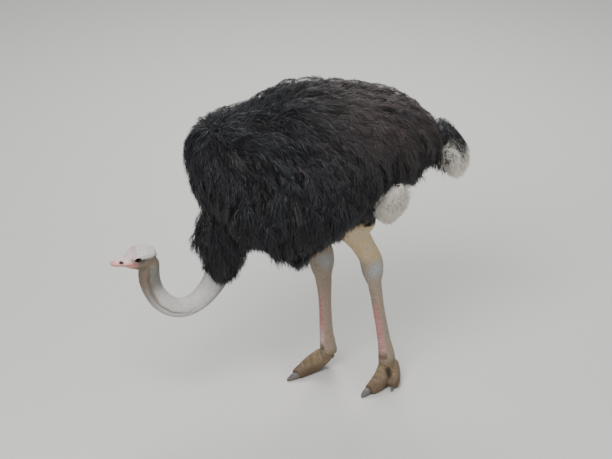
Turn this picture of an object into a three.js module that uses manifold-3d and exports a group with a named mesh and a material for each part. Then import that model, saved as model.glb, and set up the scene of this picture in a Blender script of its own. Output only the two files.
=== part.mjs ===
// A male ostrich, life size, standing with its head lowered. Millimetres, +Z up, the bird faces -Y and its left is +X.
import * as THREE from 'three';
import { mergeVertices } from 'three/addons/utils/BufferGeometryUtils.js';
import Module from 'manifold-3d';

const wasm = await Module();
wasm.setup();

// ---- driving dimensions ----
const backHeight = 1428; // top of the back feathers above the floor
const bellyHeight = 690; // lowest level of the belly, without its hanging locks
const bodyHalfWidth = 300; // trunk, without the wings
const wingHalfThickness = 88;
const neckHalfWidth = 36;
const headLength = 205; // bill tip to nape
const eyeRadius = 20;
const hockHeight = 575; // centre of the backward-facing joint
const soleJointHeight = 88; // centre of the joint above the toes
const mainToeLength = 168; // joint to the end of the flesh, along the floor
const outerToeLength = 108;
const clearance = 0.3; // between touching solids
const featherLobe = 9; // how far the coat's locks stand out and in from its mean surface

// ---- colours ----
const finishes = {
  blackPlume: { color: 0x1b191b, roughness: 0.85 },
  whitePlume: { color: 0xd9d2c2, roughness: 0.85 },
  paleSkin: { color: 0xbfb5a4, roughness: 0.7 },
  thighSkin: { color: 0xa8926c, roughness: 0.7 },
  legScale: { color: 0xa39580, roughness: 0.6 },
  toeScale: { color: 0x8a7458, roughness: 0.65 },
  billHorn: { color: 0xdba79f, roughness: 0.45 },
  eyeball: { color: 0x17100c, roughness: 0.1 },
  claw: { color: 0x3d3a3a, roughness: 0.5 },
};
const materialOf = Object.fromEntries(
  Object.entries(finishes).map(([name, look]) => [name, new THREE.MeshStandardMaterial({ ...look, metalness: 0, name })]),
);

// ---- shape tools ----
const vec = (x, y, z) => new THREE.Vector3(x, y, z);
const sideways = vec(1, 0, 0);

// Rows of numbers read as smooth curves of their first column (Hermite through each row).
function readRows(rows, key) {
  const last = rows.length - 1;
  let i = 0;
  while (i < last - 1 && key > rows[i + 1][0]) i++;
  const [a, b] = [rows[i], rows[i + 1]];
  const span = b[0] - a[0];
  const s = Math.min(1, Math.max(0, (key - a[0]) / span));
  const slope = (j, column) => {
    const before = rows[Math.max(0, j - 1)];
    const after = rows[Math.min(last, j + 1)];
    return (after[column] - before[column]) / (after[0] - before[0]);
  };
  return a.slice(1).map((value, k) => {
    const column = k + 1;
    const [m0, m1] = [slope(i, column) * span, slope(i + 1, column) * span];
    const [s2, s3] = [s * s, s * s * s];
    return (2 * s3 - 3 * s2 + 1) * value + (s3 - 2 * s2 + s) * m0 + (3 * s2 - 2 * s3) * b[column] + (s3 - s2) * m1;
  });
}

// A closed body lofted through oval rings. rows: [station, x, y, z, half width, rise, depth], where rise and depth are
// the radii on the two sides of the path. A round end closes as a dome over the given share of the path; others are flat.
// Rings stand square to the path, or all square to `facing` when it is given.
function loft(rows, options) {
  const { sides = 16, rings = 16, side = sideways, facing, grow = 0, square = 2, roundStart = 0, roundEnd = 0, ruffle } = options;
  const [low, high] = [rows[0][0], rows.at(-1)[0]];
  const { from = low, to = high } = options;
  const centreAt = (key) => vec(...readRows(rows, key));
  const positions = [];
  const faces = [];
  const total = high - low;
  for (let i = 0; i <= rings; i++) {
    const even = i / rings;
    const eased = (1 - Math.cos(Math.PI * even)) / 2;
    const gather = (roundStart || roundEnd) ? 0.6 : 0; // rings gather towards the round ends
    const share = even + (eased - even) * gather;
    const key = from + (to - from) * share;
    const [x, y, z, half, rise, depth] = readRows(rows, key);
    const step = total * 0.01;
    const along = centreAt(Math.min(high, key + step)).sub(centreAt(Math.max(low, key - step))).normalize();
    const tangent = facing ?? along;
    const across = side.clone().addScaledVector(tangent, -side.dot(tangent)).normalize();
    const outward = across.clone().cross(tangent).normalize();
    const fromStart = (key - low) / total;
    const dome = (distance, reach) => (reach && distance < reach ? Math.sqrt(Math.max(0, 1 - (1 - distance / reach) ** 2)) : 1);
    const fullness = Math.max(0.02, dome(fromStart, roundStart) * dome(1 - fromStart, roundEnd));
    for (let j = 0; j < sides; j++) {
      const angle = (2 * Math.PI * j) / sides;
      const [c, s] = [Math.cos(angle), Math.sin(angle)];
      const bend = (value) => Math.sign(value) * Math.abs(value) ** (2 / square);
      const lift = grow + (ruffle ? ruffle(fromStart, angle) * fullness : 0);
      const point = vec(x, y, z)
        .addScaledVector(across, (half * fullness + lift) * bend(c))
        .addScaledVector(outward, ((s > 0 ? rise : depth) * fullness + lift) * bend(s));
      positions.push(point.x, point.y, point.z);
    }
  }
  const ringAt = (i, j) => i * sides + ((j + sides) % sides);
  for (let i = 0; i < rings; i++) {
    for (let j = 0; j < sides; j++) {
      const [a, b, c, d] = [ringAt(i, j), ringAt(i, j + 1), ringAt(i + 1, j + 1), ringAt(i + 1, j)];
      faces.push(a, b, c, a, c, d);
    }
  }
  for (const [ring, key, turned, isRound] of [[0, from, true, roundStart], [rings, to, false, roundEnd]]) {
    const [x, y, z] = readRows(rows, key);
    const centre = vec(x, y, z);
    if (grow && !isRound) centre.addScaledVector(centreAt(key + (turned ? 1 : -1)).sub(centreAt(key)).normalize(), -grow);
    const pole = positions.length / 3;
    positions.push(centre.x, centre.y, centre.z);
    for (let j = 0; j < sides; j++) {
      const [a, b] = [ringAt(ring, j), ringAt(ring, j + 1)];
      faces.push(...(turned ? [pole, b, a] : [pole, a, b]));
    }
  }
  const geometry = new THREE.BufferGeometry();
  geometry.setAttribute('position', new THREE.Float32BufferAttribute(positions, 3));
  geometry.setIndex(faces);
  return geometry;
}

function solid(geometry) {
  const bare = geometry.clone();
  for (const name of ['normal', 'uv']) bare.deleteAttribute(name);
  const merged = mergeVertices(bare, 1e-3);
  const vertProperties = new Float32Array(merged.attributes.position.array);
  const triVerts = new Uint32Array(merged.index.array);
  const made = new wasm.Manifold(new wasm.Mesh({ numProp: 3, vertProperties, triVerts }));
  if (made.volume() > 0) return made;
  for (let i = 0; i < triVerts.length; i += 3) [triVerts[i + 1], triVerts[i + 2]] = [triVerts[i + 2], triVerts[i + 1]];
  return new wasm.Manifold(new wasm.Mesh({ numProp: 3, vertProperties, triVerts }));
}

// The largest body of a cut solid: slivers that a cut leaves loose are dropped.
const largest = (cut) => cut.decompose().sort((a, b) => b.volume() - a.volume())[0];

const carve = (base, cutters) => largest(cutters.reduce((left, cutter) => left.subtract(cutter), base));

const bird = new THREE.Group();

function addNode(name, shape, finish) {
  const mesh = shape.getMesh();
  const geometry = new THREE.BufferGeometry();
  geometry.setAttribute('position', new THREE.BufferAttribute(new Float32Array(mesh.vertProperties), 3));
  geometry.setIndex(new THREE.BufferAttribute(new Uint32Array(mesh.triVerts), 1));
  geometry.computeVertexNormals();
  const node = new THREE.Mesh(geometry, materialOf[finish]);
  node.name = name;
  bird.add(node);
}

// Swells of the coat: rounded lobes that wander round the body.
const swells = (rowsAlong, around, size = featherLobe) => (along, angle) =>
  size * Math.sin(2 * Math.PI * rowsAlong * along + 1.6 * Math.sin(2 * angle)) * Math.cos(around * angle + 4 * along);

// A hanging lock of feathers: thick at the root, pointed at the tip, bowed outwards.
function lock(root, tip, half, thick, grow = 0) {
  const middle = root.clone().lerp(tip, 0.5).addScaledVector(vec(root.x, root.y * 0, 0).normalize(), thick * 0.3);
  const rows = [
    [0, ...root.toArray(), half, thick, thick],
    [1, ...middle.toArray(), half * 0.92, thick * 0.85, thick * 0.85],
    [2, ...tip.toArray(), half * 0.3, thick * 0.22, thick * 0.22],
  ];
  return solid(loft(rows, { sides: 6, rings: 3, grow, side: vec(0, 1, 0) }));
}

const joined = (first, ...others) => others.reduce((sum, other) => sum.add(other), first);

// ---- trunk: from the breast (front) to the rump, stations along y ----
const trunkTop = [
  [-746, 1334], [-690, 1352], [-640, 1360], [-560, 1356], [-450, 1368], [-340, 1412], [-260, backHeight], [-180, 1426],
  [-60, 1408], [70, 1372], [190, 1326], [290, 1262], [395, 1176],
];
const trunkBottom = [
  [-746, 1010], [-690, 930], [-620, 845], [-500, 760], [-400, 715], [-300, bellyHeight], [-220, bellyHeight + 4],
  [-110, 745], [0, 812], [120, 890], [250, 985], [395, 1040],
];
const trunkWidth = [
  [-746, 178], [-690, 202], [-600, 234], [-480, 272], [-340, bodyHalfWidth - 2], [-150, bodyHalfWidth - 2], [20, 280],
  [180, 238], [300, 184], [395, 136],
];
const widestShare = 0.56; // height of the widest level, as a share from belly to back
const trunkStations = 15;
const [trunkFront, trunkEnd] = [trunkTop[0][0], trunkTop.at(-1)[0]];
const trunkRows = Array.from({ length: trunkStations }, (_, i) => {
  const y = trunkFront + (i / (trunkStations - 1)) * (trunkEnd - trunkFront);
  const [[top], [bottom], [half]] = [trunkTop, trunkBottom, trunkWidth].map((rows) => readRows(rows, y));
  const middle = bottom + (top - bottom) * widestShare;
  return [y, 0, y, middle, half, top - middle, middle - bottom];
});
// Locks that hang from the belly and from the sides of the rump.
const trunkLocks = [
  [vec(110, -325, 790), vec(95, -280, 634), 78, 44],
  [vec(-110, -420, 800), vec(-90, -400, 680), 90, 44],
  [vec(190, 205, 1120), vec(168, 226, 978), 56, 34],
  [vec(-190, 205, 1120), vec(-168, 226, 978), 56, 34],
  [vec(110, 325, 1100), vec(100, 342, 984), 44, 34],
  [vec(-110, 325, 1100), vec(-100, 342, 984), 44, 34],
];
const trunkLoft = (grow = 0) =>
  joined(
    solid(loft(trunkRows, { sides: 18, rings: 15, facing: vec(0, 1, 0), grow, square: 2.1, roundStart: 0.13, roundEnd: 0.12, ruffle: swells(3, 5) })),
    ...trunkLocks.map((shape) => lock(...shape, grow)),
  );

// ---- wings: folded over the flanks, from the shoulder back to the tip; the right mirrors the left ----
const wingRows = [
  // station, x, y, z of the wing's middle line, half thickness, reach up, reach down
  [0, 150, -640, 1090, 60, 90, 120],
  [1, 212, -560, 1080, 78, 150, 195],
  [2, 250, -430, 1068, wingHalfThickness, 190, 232],
  [3, 265, -290, 1070, wingHalfThickness, 208, 215],
  [4, 262, -160, 1098, 82, 190, 172],
  [5, 240, -40, 1125, 70, 160, 128],
  [6, 212, 70, 1150, 52, 105, 84],
];
const wingLean = vec(0.96, 0, 0.26); // the wing's outer face looks out and a little up
const wingLocks = [
  [vec(290, -450, 880), vec(276, -440, 790), 80, 38],
  [vec(300, -312, 930), vec(290, -300, 846), 76, 38],
  [vec(294, -170, 1000), vec(288, -158, 920), 66, 34],
  [vec(270, -55, 1070), vec(266, -38, 972), 60, 34],
];
const wingLoft = (hand, grow = 0) =>
  joined(
    solid(loft(wingRows, { sides: 14, rings: 11, grow, side: wingLean, roundStart: 0.2, roundEnd: 0.16, ruffle: swells(3, 4) })
      .scale(hand, 1, 1)),
    ...wingLocks.map(([root, tip, half, thick]) => lock(root.clone().setX(hand * root.x), tip.clone().setX(hand * tip.x), half, thick, grow)),
  );

// White wing plumes hang from under the rear end of each wing.
const plumeRows = [
  [0, 205, 35, 1030, 34, 48, 44],
  [1, 212, 66, 1000, 42, 66, 62],
  [2, 214, 72, 950, 40, 62, 60],
  [3, 210, 58, 900, 28, 46, 46],
  [4, 206, 44, 872, 14, 26, 28],
];
const plumeLoft = (hand, grow = 0) =>
  solid(loft(plumeRows, { sides: 12, rings: 7, grow, roundStart: 0.2, roundEnd: 0.12, ruffle: swells(2, 3, 4) }).scale(hand, 1, 1));

// ---- tail: drooping plumes behind the rump ----
const tailRows = [
  [0, 0, 300, 1084, 100, 76, 80],
  [1, 0, 375, 1084, 112, 70, 84],
  [2, 0, 430, 1058, 110, 66, 78],
  [3, 0, 462, 1004, 94, 60, 64],
  [4, 0, 462, 956, 70, 48, 56],
  [5, 0, 448, 922, 42, 34, 42],
];
const tailLoft = (grow = 0) =>
  solid(loft(tailRows, { sides: 14, rings: 9, grow, roundStart: 0.15, roundEnd: 0.1, ruffle: swells(3, 5, 6) }));

// ---- neck: one curve from the breast down, forward and up to the head ----
const neckBaseRows = [
  // station, x, y, z, half width, reach back, reach forward
  [0, 0, -540, 985, 150, 165, 136],
  [1, 0, -566, 890, 136, 150, 130],
  [2, 0, -588, 800, 116, 126, 121],
  [3, 0, -600, 728, 98, 104, 108],
  [4, 0, -614, 668, 72, 78, 80],
  [5, 0, -634, 620, 52, 60, 58],
];
const breastTuft = [vec(20, -650, 880), vec(-12, -738, 768), 60, 36];
const neckBaseLoft = (grow = 0) =>
  joined(solid(loft(neckBaseRows, { sides: 14, rings: 8, grow, ruffle: (along, angle) => swells(3, 5, 7)(along, angle) * Math.min(1, 5 * (1 - along)) })), lock(...breastTuft, grow));

const neckRows = [
  // station, x, y, z, half width, reach to the outside of the bend, reach to the inside
  [0, 0, -592, 682, 44, 62, 46],
  [1, 0, -634, 622, 42, 66, 47],
  [2, 0, -672, 566, 38, 62, 41],
  [3, 0, -720, 519, neckHalfWidth, 54, 39],
  [4, 0, -778, 497, neckHalfWidth, 46, 40],
  [5, 0, -836, 512, neckHalfWidth, 44, 43],
  [6, 0, -886, 555, neckHalfWidth, 44, 45],
  [7, 0, -918, 612, neckHalfWidth, 44, 46],
  [8, 0, -932, 672, 36, 46, 48],
  [9, 0, -930, 728, 36, 42, 46],
  [10, 0, -925, 772, 32, 36, 40],
];
const neckCut = 4.6; // where the neck's two lengths meet
const neckStation = 65; // mm between stations, about
const neckLoft = (from, to, grow = 0) =>
  solid(loft(neckRows, { sides: 12, rings: Math.round((to - from) * 2.5), grow, from, to, roundEnd: to === neckRows.length - 1 ? 0.08 : 0 }));

// ---- head: stations back from the bill tip ----
const billTip = vec(0, -1103, 762);
const headStation = (back, lift, half, up, down) => [back, 0, billTip.y + back, billTip.z + lift, half, up, down];
const skullRows = [
  headStation(68, 8, 21, 16, 18),
  headStation(88, 12, 30, 30, 42),
  headStation(106, 15, 38, 40, 58),
  headStation(128, 18, 43, 44, 68),
  headStation(152, 18, 43, 42, 74),
  headStation(176, 14, 38, 38, 70),
  headStation(194, 6, 30, 34, 60),
  headStation(headLength, 0, 22, 26, 48),
];
const skullLoft = (grow = 0) => solid(loft(skullRows, { sides: 14, rings: 10, grow, roundEnd: 0.2 }));

const upperBillRows = [
  headStation(0, 1, 9, 5, 1.5),
  headStation(12, 1, 15, 11, 1.5),
  headStation(32, 1, 20, 17, 1.5),
  headStation(56, 1, 26, 22, 1.5),
  headStation(80, 0, 32, 28, 1.5),
  headStation(104, -3, 37, 28, 1.5),
];
const lowerBillRows = [
  headStation(3, -1, 8, 1.5, 4),
  headStation(16, -1, 14, 1.5, 8),
  headStation(40, -1, 20, 1.5, 15),
  headStation(70, -2, 27, 1.5, 23),
  headStation(102, -5, 34, 1.5, 32),
];
const upperBillLoft = (grow = 0) => solid(loft(upperBillRows, { sides: 12, rings: 6, grow, roundStart: 0.14 }));
const lowerBillLoft = (grow = 0) => solid(loft(lowerBillRows, { sides: 12, rings: 6, grow, roundStart: 0.14 }));

const eyeCentre = (hand) => vec(hand * 27, billTip.y + 114, billTip.z + 19);
function eyeBall(hand, grow = 0) {
  const ball = new THREE.SphereGeometry(eyeRadius + grow, 10, 7);
  return solid(ball.translate(...eyeCentre(hand).toArray()));
}

// ---- legs: thigh, hock, shank and the joint above the toes ----
// station, x, y, z, half width, reach back, reach forward
const legRows = {
  left: [
    [0, 140, -185, 985, 92, 112, 118],
    [1, 128, -120, 890, 88, 104, 104],
    [2, 116, -68, 805, 72, 80, 74],
    [3, 104, -22, 730, 56, 56, 54],
    [4, 97, 12, 672, 48, 50, 50],
    [5, 94, 38, 620, 46, 51, 51],
    [6, 93, 50, hockHeight, 45, 53, 54],
    [7, 92, 58, 520, 36, 46, 46],
    [8, 92, 68, 450, 25, 36, 32],
    [9, 92, 82, 360, 22, 32, 29],
    [10, 92, 98, 270, 22, 34, 30],
    [11, 92, 113, 180, 25, 38, 33],
    [12, 93, 122, 120, 31, 50, 40],
    [13, 94, 124, soleJointHeight, 34, 52, 42],
  ],
  right: [
    [0, -140, -315, 965, 92, 112, 118],
    [1, -128, -262, 880, 88, 104, 104],
    [2, -114, -214, 800, 72, 80, 80],
    [3, -100, -175, 730, 56, 56, 58],
    [4, -90, -142, 668, 48, 50, 54],
    [5, -83, -120, 612, 46, 52, 58],
    [6, -79, -112, hockHeight - 15, 45, 53, 62],
    [7, -77, -106, 505, 36, 43, 56],
    [8, -76, -102, 435, 25, 33, 38],
    [9, -75, -100, 350, 22, 29, 29],
    [10, -74, -98, 265, 22, 30, 28],
    [11, -73, -95, 180, 25, 34, 29],
    [12, -72, -90, 120, 31, 43, 31],
    [13, -72, -88, soleJointHeight, 34, 46, 32],
  ],
};
const hockStation = 6.1;
const footTurn = { left: 36, right: 8 }; // degrees the toes turn towards +X
const legLoft = (name, from, to, grow = 0, rings = Math.round((to - from) * 1.45)) => {
  const turn = (footTurn[name] * Math.PI) / 180;
  return solid(loft(legRows[name], { sides: 12, rings, grow, from, to, side: vec(Math.cos(turn), Math.sin(turn), 0) }));
};

// ---- feet: two toes each, in a frame whose origin is the floor under the joint and whose -y is the toe's way ----
// station, x (outward), y, z, half width, reach down, reach up
const mainToeRows = [
  [0, 2, 14, 84, 34, 34, 36],
  [1, 11, -22, 64, 35, 36, 38],
  [2, 18, -62, 42, 34, 44, 38],
  [3, 17, -100, 27, 34, 31, 30],
  [4, 11, -136, 20, 31, 24, 21],
  [5, 4, -mainToeLength, 16, 24, 19, 16],
];
const outerToeRows = [
  [0, 26, 26, 80, 24, 28, 26],
  [1, 32, 0, 60, 26, 28, 28],
  [2, 37, -34, 36, 27, 28, 32],
  [3, 36, -68, 23, 25, 26, 27],
  [4, 28, -outerToeLength, 15, 18, 18, 17],
];
const mainClawRows = [
  [0, 3, -mainToeLength + 20, 17, 18, 15, 12],
  [1, 1, -mainToeLength - 4, 14, 17, 14.6, 10],
  [2, -1, -mainToeLength - 24, 9, 12, 10, 7],
  [3, -2, -mainToeLength - 42, 4.5, 6, 5.2, 3.5],
];
const outerClawRows = [
  [0, 28, -outerToeLength + 12, 14, 8, 7, 6],
  [1, 25, -outerToeLength - 8, 10, 6.5, 6, 5],
  [2, 22, -outerToeLength - 20, 6, 3.5, 4, 3],
];
const outerToeSplay = 30; // degrees between the two toes
const floorBlock = solid(new THREE.BoxGeometry(3000, 3000, 400).translate(0, 0, -200));

function placeToe(geometry, footName, splay) {
  const outward = footName === 'left' ? 1 : -1;
  geometry.scale(outward, 1, 1);
  const heading = ((footTurn[footName] + outward * splay) * Math.PI) / 180;
  const [, x, y] = legRows[footName].at(-1);
  return solid(geometry.rotateZ(heading).translate(x, y, 0)).subtract(floorBlock);
}

function foot(name) {
  const toe = (rows, splay, shape) => placeToe(loft(rows, shape), name, splay);
  const main = (grow) => toe(mainToeRows, 0, { sides: 12, rings: 8, grow, roundStart: 0.14, roundEnd: 0.1, square: 2.6 });
  const outer = (grow) => toe(outerToeRows, outerToeSplay, { sides: 10, rings: 6, grow, roundStart: 0.16, roundEnd: 0.12, square: 2.6 });
  const claw = (grow) => toe(mainClawRows, 0, { sides: 10, rings: 5, grow, roundEnd: 0.2, square: 2.4 });
  const smallClaw = (grow) => toe(outerClawRows, outerToeSplay, { sides: 8, rings: 3, grow, roundEnd: 0.3 });
  const shank = legLoft(name, 11, 13, clearance);
  addNode(`toe_main_${name}`, carve(main(0), [claw(clearance), shank]), 'toeScale');
  addNode(`toe_outer_${name}`, carve(outer(0), [smallClaw(clearance), main(clearance), shank]), 'toeScale');
  addNode(`claw_main_${name}`, claw(0), 'claw');
  addNode(`claw_outer_${name}`, smallClaw(0), 'claw');
}

// ---- assembly: each piece gives way to the ones it meets ----
const trunkGrown = trunkLoft(clearance);
const wingsGrown = { left: wingLoft(1, clearance), right: wingLoft(-1, clearance) };
addNode('trunk', carve(trunkLoft(), Object.values(wingsGrown)), 'blackPlume');
const tailGrown = tailLoft(clearance);
addNode('tail', carve(tailLoft(), [trunkGrown]), 'whitePlume');
addNode('neck_base', carve(neckBaseLoft(), [trunkGrown, ...Object.values(wingsGrown), neckLoft(0, 3, clearance)]), 'blackPlume');
addNode('neck_lower', neckLoft(0, neckCut), 'paleSkin');
addNode('neck_upper', carve(neckLoft(neckCut + clearance / neckStation, neckRows.length - 1), [skullLoft(clearance)]), 'paleSkin');

const eyesGrown = [1, -1].map((hand) => eyeBall(hand, clearance));
addNode('head', carve(skullLoft(), [upperBillLoft(clearance), lowerBillLoft(clearance), ...eyesGrown]), 'paleSkin');
addNode('bill_upper', carve(upperBillLoft(), eyesGrown), 'billHorn');
addNode('bill_lower', carve(lowerBillLoft(), [upperBillLoft(clearance), ...eyesGrown]), 'billHorn');

for (const [name, hand] of [['left', 1], ['right', -1]]) {
  addNode(`wing_${name}`, wingLoft(hand), 'blackPlume');
  addNode(`wing_plumes_${name}`, carve(plumeLoft(hand), [wingsGrown[name], trunkGrown]), 'whitePlume');
  addNode(`eye_${name}`, eyeBall(hand), 'eyeball');
  const hock = hockStation;
  addNode(`thigh_${name}`, carve(legLoft(name, 0, hock), [trunkGrown, wingsGrown[name], plumeLoft(hand, clearance)]), 'thighSkin');
  addNode(`shank_${name}`, legLoft(name, hock + 0.006, 13), 'legScale');
  foot(name);
}

// The origin is the middle of the box's floor side.
const box = new THREE.Box3().setFromObject(bird);
bird.position.set(-(box.min.x + box.max.x) / 2, -(box.min.y + box.max.y) / 2, -box.min.z);
const ostrich = new THREE.Group();
ostrich.add(bird);

export default ostrich;
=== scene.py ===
import bpy
import math
import numpy as np
from mathutils import Matrix, Vector
from mathutils.bvhtree import BVHTree


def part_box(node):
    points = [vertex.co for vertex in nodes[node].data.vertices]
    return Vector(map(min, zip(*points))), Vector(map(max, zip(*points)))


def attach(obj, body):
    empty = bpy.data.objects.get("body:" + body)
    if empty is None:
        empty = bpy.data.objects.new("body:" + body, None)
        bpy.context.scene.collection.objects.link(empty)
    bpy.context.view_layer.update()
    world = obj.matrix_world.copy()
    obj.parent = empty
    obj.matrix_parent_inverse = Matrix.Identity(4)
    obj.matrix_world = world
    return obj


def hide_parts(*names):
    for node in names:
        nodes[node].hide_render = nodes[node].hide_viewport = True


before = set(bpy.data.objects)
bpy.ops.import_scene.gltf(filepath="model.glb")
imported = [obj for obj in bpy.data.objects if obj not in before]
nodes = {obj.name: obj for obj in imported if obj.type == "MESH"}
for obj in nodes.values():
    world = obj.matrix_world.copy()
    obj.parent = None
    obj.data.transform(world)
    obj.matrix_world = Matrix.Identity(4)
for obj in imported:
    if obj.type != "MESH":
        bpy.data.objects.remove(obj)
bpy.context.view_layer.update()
sides = {"left": 1, "right": -1}  # the bird's left is +X

# camera: a long lens, from the bird's left front and above
view = {"azimuth": 68, "elevation": 27, "place": (8.742, -3.461, 5.562), "lens": 145.6, "sensor": 36,
        "farthest": 100}
azimuth, elevation = math.radians(view["azimuth"]), math.radians(view["elevation"])
back = Vector((math.sin(azimuth) * math.cos(elevation), -math.cos(azimuth) * math.cos(elevation),
               math.sin(elevation)))
bpy.ops.object.camera_add(location=view["place"], rotation=(-back).to_track_quat("-Z", "Y").to_euler())
camera = bpy.context.object
camera.data.lens = view["lens"]
camera.data.sensor_width = view["sensor"]
camera.data.clip_end = view["farthest"]
bpy.context.scene.camera = camera
print("camera done")


# small helpers for objects
def select(*objects):
    bpy.ops.object.select_all(action="DESELECT")
    for item in objects:
        item.select_set(True)
    bpy.context.view_layer.objects.active = objects[0]


def remove(*pieces):
    for piece in pieces:
        bpy.data.objects.remove(piece)


def addModifier(piece, kind, **settings):
    modifier = piece.modifiers.new(kind.title(), kind)
    for name, value in settings.items():
        setattr(modifier, name, value)
    select(piece)
    bpy.ops.object.modifier_apply(modifier=modifier.name)


def editAll(piece, operator, **settings):
    # runs one edit operator on everything in the piece
    select(piece)
    bpy.ops.object.mode_set(mode="EDIT")
    bpy.ops.mesh.select_all(action="SELECT")
    operator(**settings)
    bpy.ops.object.mode_set(mode="OBJECT")


def shadeSmooth(piece):
    select(piece)
    bpy.ops.object.shade_smooth()


def newPiece(name, mesh):
    piece = bpy.data.objects.new(name, mesh)
    bpy.context.collection.objects.link(piece)
    return piece


def twinOf(piece):
    twin = piece.copy()
    twin.data = piece.data.copy()
    bpy.context.collection.objects.link(twin)
    return twin


def copyNodes(name, members, swell=0.0005):
    # copies of the CAD nodes as one piece, each closed and grown a hair so that neighbours overlap
    copies = [twinOf(nodes[member]) for member in members]
    for twin in copies:
        twin.parent = None
        for key in list(twin.keys()):
            del twin[key]
    select(*copies)
    bpy.ops.object.join()
    piece = bpy.context.object
    piece.name = piece.data.name = name
    piece.data.materials.clear()
    editAll(piece, bpy.ops.mesh.remove_doubles, threshold=0.00001)
    addModifier(piece, "DISPLACE", strength=swell, mid_level=0)
    return piece


def joinBall(piece, place, size, segments):
    bpy.ops.mesh.primitive_uv_sphere_add(segments=segments, ring_count=16, radius=size, location=place)
    bpy.ops.object.transform_apply(location=True)
    select(piece, bpy.context.object)
    bpy.ops.object.join()


# small helpers for meshes as rows of numbers
def rowsOf(items, field, width, kind=np.float32):
    values = np.empty(len(items) * width, kind)
    items.foreach_get(field, values)
    return values.reshape(-1, width)


def points(piece):
    return rowsOf(piece.data.vertices, "co", 3).astype(float)


def pointNormals(piece):
    return rowsOf(piece.data.vertex_normals, "vector", 3).astype(float)


def edgesOf(piece):
    return rowsOf(piece.data.edges, "vertices", 2, np.int32)


def trianglesOf(piece):
    piece.data.calc_loop_triangles()
    return rowsOf(piece.data.loop_triangles, "vertices", 3, np.int32)


def movePoints(piece, co):
    piece.data.vertices.foreach_set("co", co.astype(np.float32).ravel())
    piece.data.update()


def paintPoints(mesh, colours):
    # a colour at every point, which the materials read
    tint = mesh.color_attributes.new("tint", "FLOAT_COLOR", "POINT")
    rows = np.ones((len(colours), 4))
    rows[:, :3] = colours
    tint.data.foreach_set("color", rows.astype(np.float32).ravel())


def treeOf(piece):
    return BVHTree.FromPolygons(points(piece).tolist(), trianglesOf(piece).tolist())


def treeOfNodes(*members):
    piece = copyNodes("shape", members)
    tree = treeOf(piece)
    remove(piece)
    return tree


def nearestOn(tree, co):
    # for each point the nearest place on a surface, the way it faces there, and the distance
    hits = [tree.find_nearest(spot) for spot in co.tolist()]
    places, ways, _, distances = zip(*hits)
    return np.array(places), np.array(ways), np.array(distances)


def relax(co, pairs, rounds, share=0.5, where=None):
    # each point moves towards the middle of its neighbours
    count = np.bincount(pairs.ravel(), minlength=len(co))[:, None]
    one, two = pairs[:, 0], pairs[:, 1]
    for _ in range(rounds):
        total = np.stack([np.bincount(one, co[two, axis], len(co)) + np.bincount(two, co[one, axis], len(co))
                          for axis in range(3)], axis=1)
        moved = (total / np.maximum(count, 1) - co) * share
        co = co + (moved if where is None else moved * where[:, None])
    return co


def smoothOut(piece, rounds, shrink=0.6, swell=0.6):
    # smooths without losing size: each round shrinks a little and swells back
    co, pairs = points(piece), edgesOf(piece)
    for _ in range(rounds):
        co = relax(relax(co, pairs, 1, shrink), pairs, 1, -swell)
    movePoints(piece, co)
    return co


# small helpers for values that rise and fall smoothly
def smoothStep(value, low, high):
    t = np.clip((value - low) / (high - low), 0, 1)
    return t * t * (3 - 2 * t)


def fadeOut(value, low, high):
    # 1 up to low, falling to 0 at high
    return smoothStep(-value, -high, -low)


def bump(distance, radius):
    # 1 at the middle, falling smoothly to 0 at the radius
    return smoothStep(1 - distance / radius, 0, 1)


def hump(value, width):
    return np.exp(-(value / width) ** 2)


def nearTo(co, place, radius, stretch=(1, 1, 1)):
    return bump(np.linalg.norm((co - place) / stretch, axis=1), radius)


# body under the feathers: a smooth shape inside the coat, found from the middle out, without the hanging locks
body = {"middle": (0, 0.02, 1.045), "rings": 60, "sides": 72, "window": 2, "blurs": 10,  # its first shape
        "depth": 0.036, "least": 0.028, "deepest": 0.058, "rounds": 22, "voxel": 0.015,  # its depth in the coat
        "fillers": 140, "filler": 0.045, "smallest": 0.018, "apart": 0.03,  # balls that fill its corners
        # back, height and size of the neck's root, and of the breast in front of it
        "neckTop": (-0.215, 0.985, 0.105), "neckFoot": (-0.336, 0.632, 0.046), "neckBalls": 25,
        "breast": ((-0.345, 0.905, 0.068), (-0.350, 0.865, 0.066), (-0.345, 0.825, 0.062),
                   (-0.330, 0.785, 0.052))}
# the coat's own outside, smoothed, which the plumes follow
outside = {"voxel": 0.016, "rounds": 9, "swell": 0.003}
bodyTree = treeOfNodes("trunk", "wing_left", "wing_right")


def rayReach(tree, start, way, limit=1.2):
    # distance to the last surface along the ray
    reach, place = 0, Vector(start)
    while True:
        hit = tree.ray_cast(place, way, limit - reach)
        if hit[0] is None:
            return reach
        reach = (hit[0] - Vector(start)).length
        place = hit[0] + way * 0.001


def overWindow(field, window, pick):
    # widest or least value in a window that wraps round the second axis
    best = field.copy()
    for i in range(-window, window + 1):
        rolled = np.pad(np.roll(field, i, axis=1), ((window, window), (0, 0)), mode="edge")
        for j in range(2 * window + 1):
            best = pick(best, rolled[j:j + len(field)])
    return best


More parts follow.
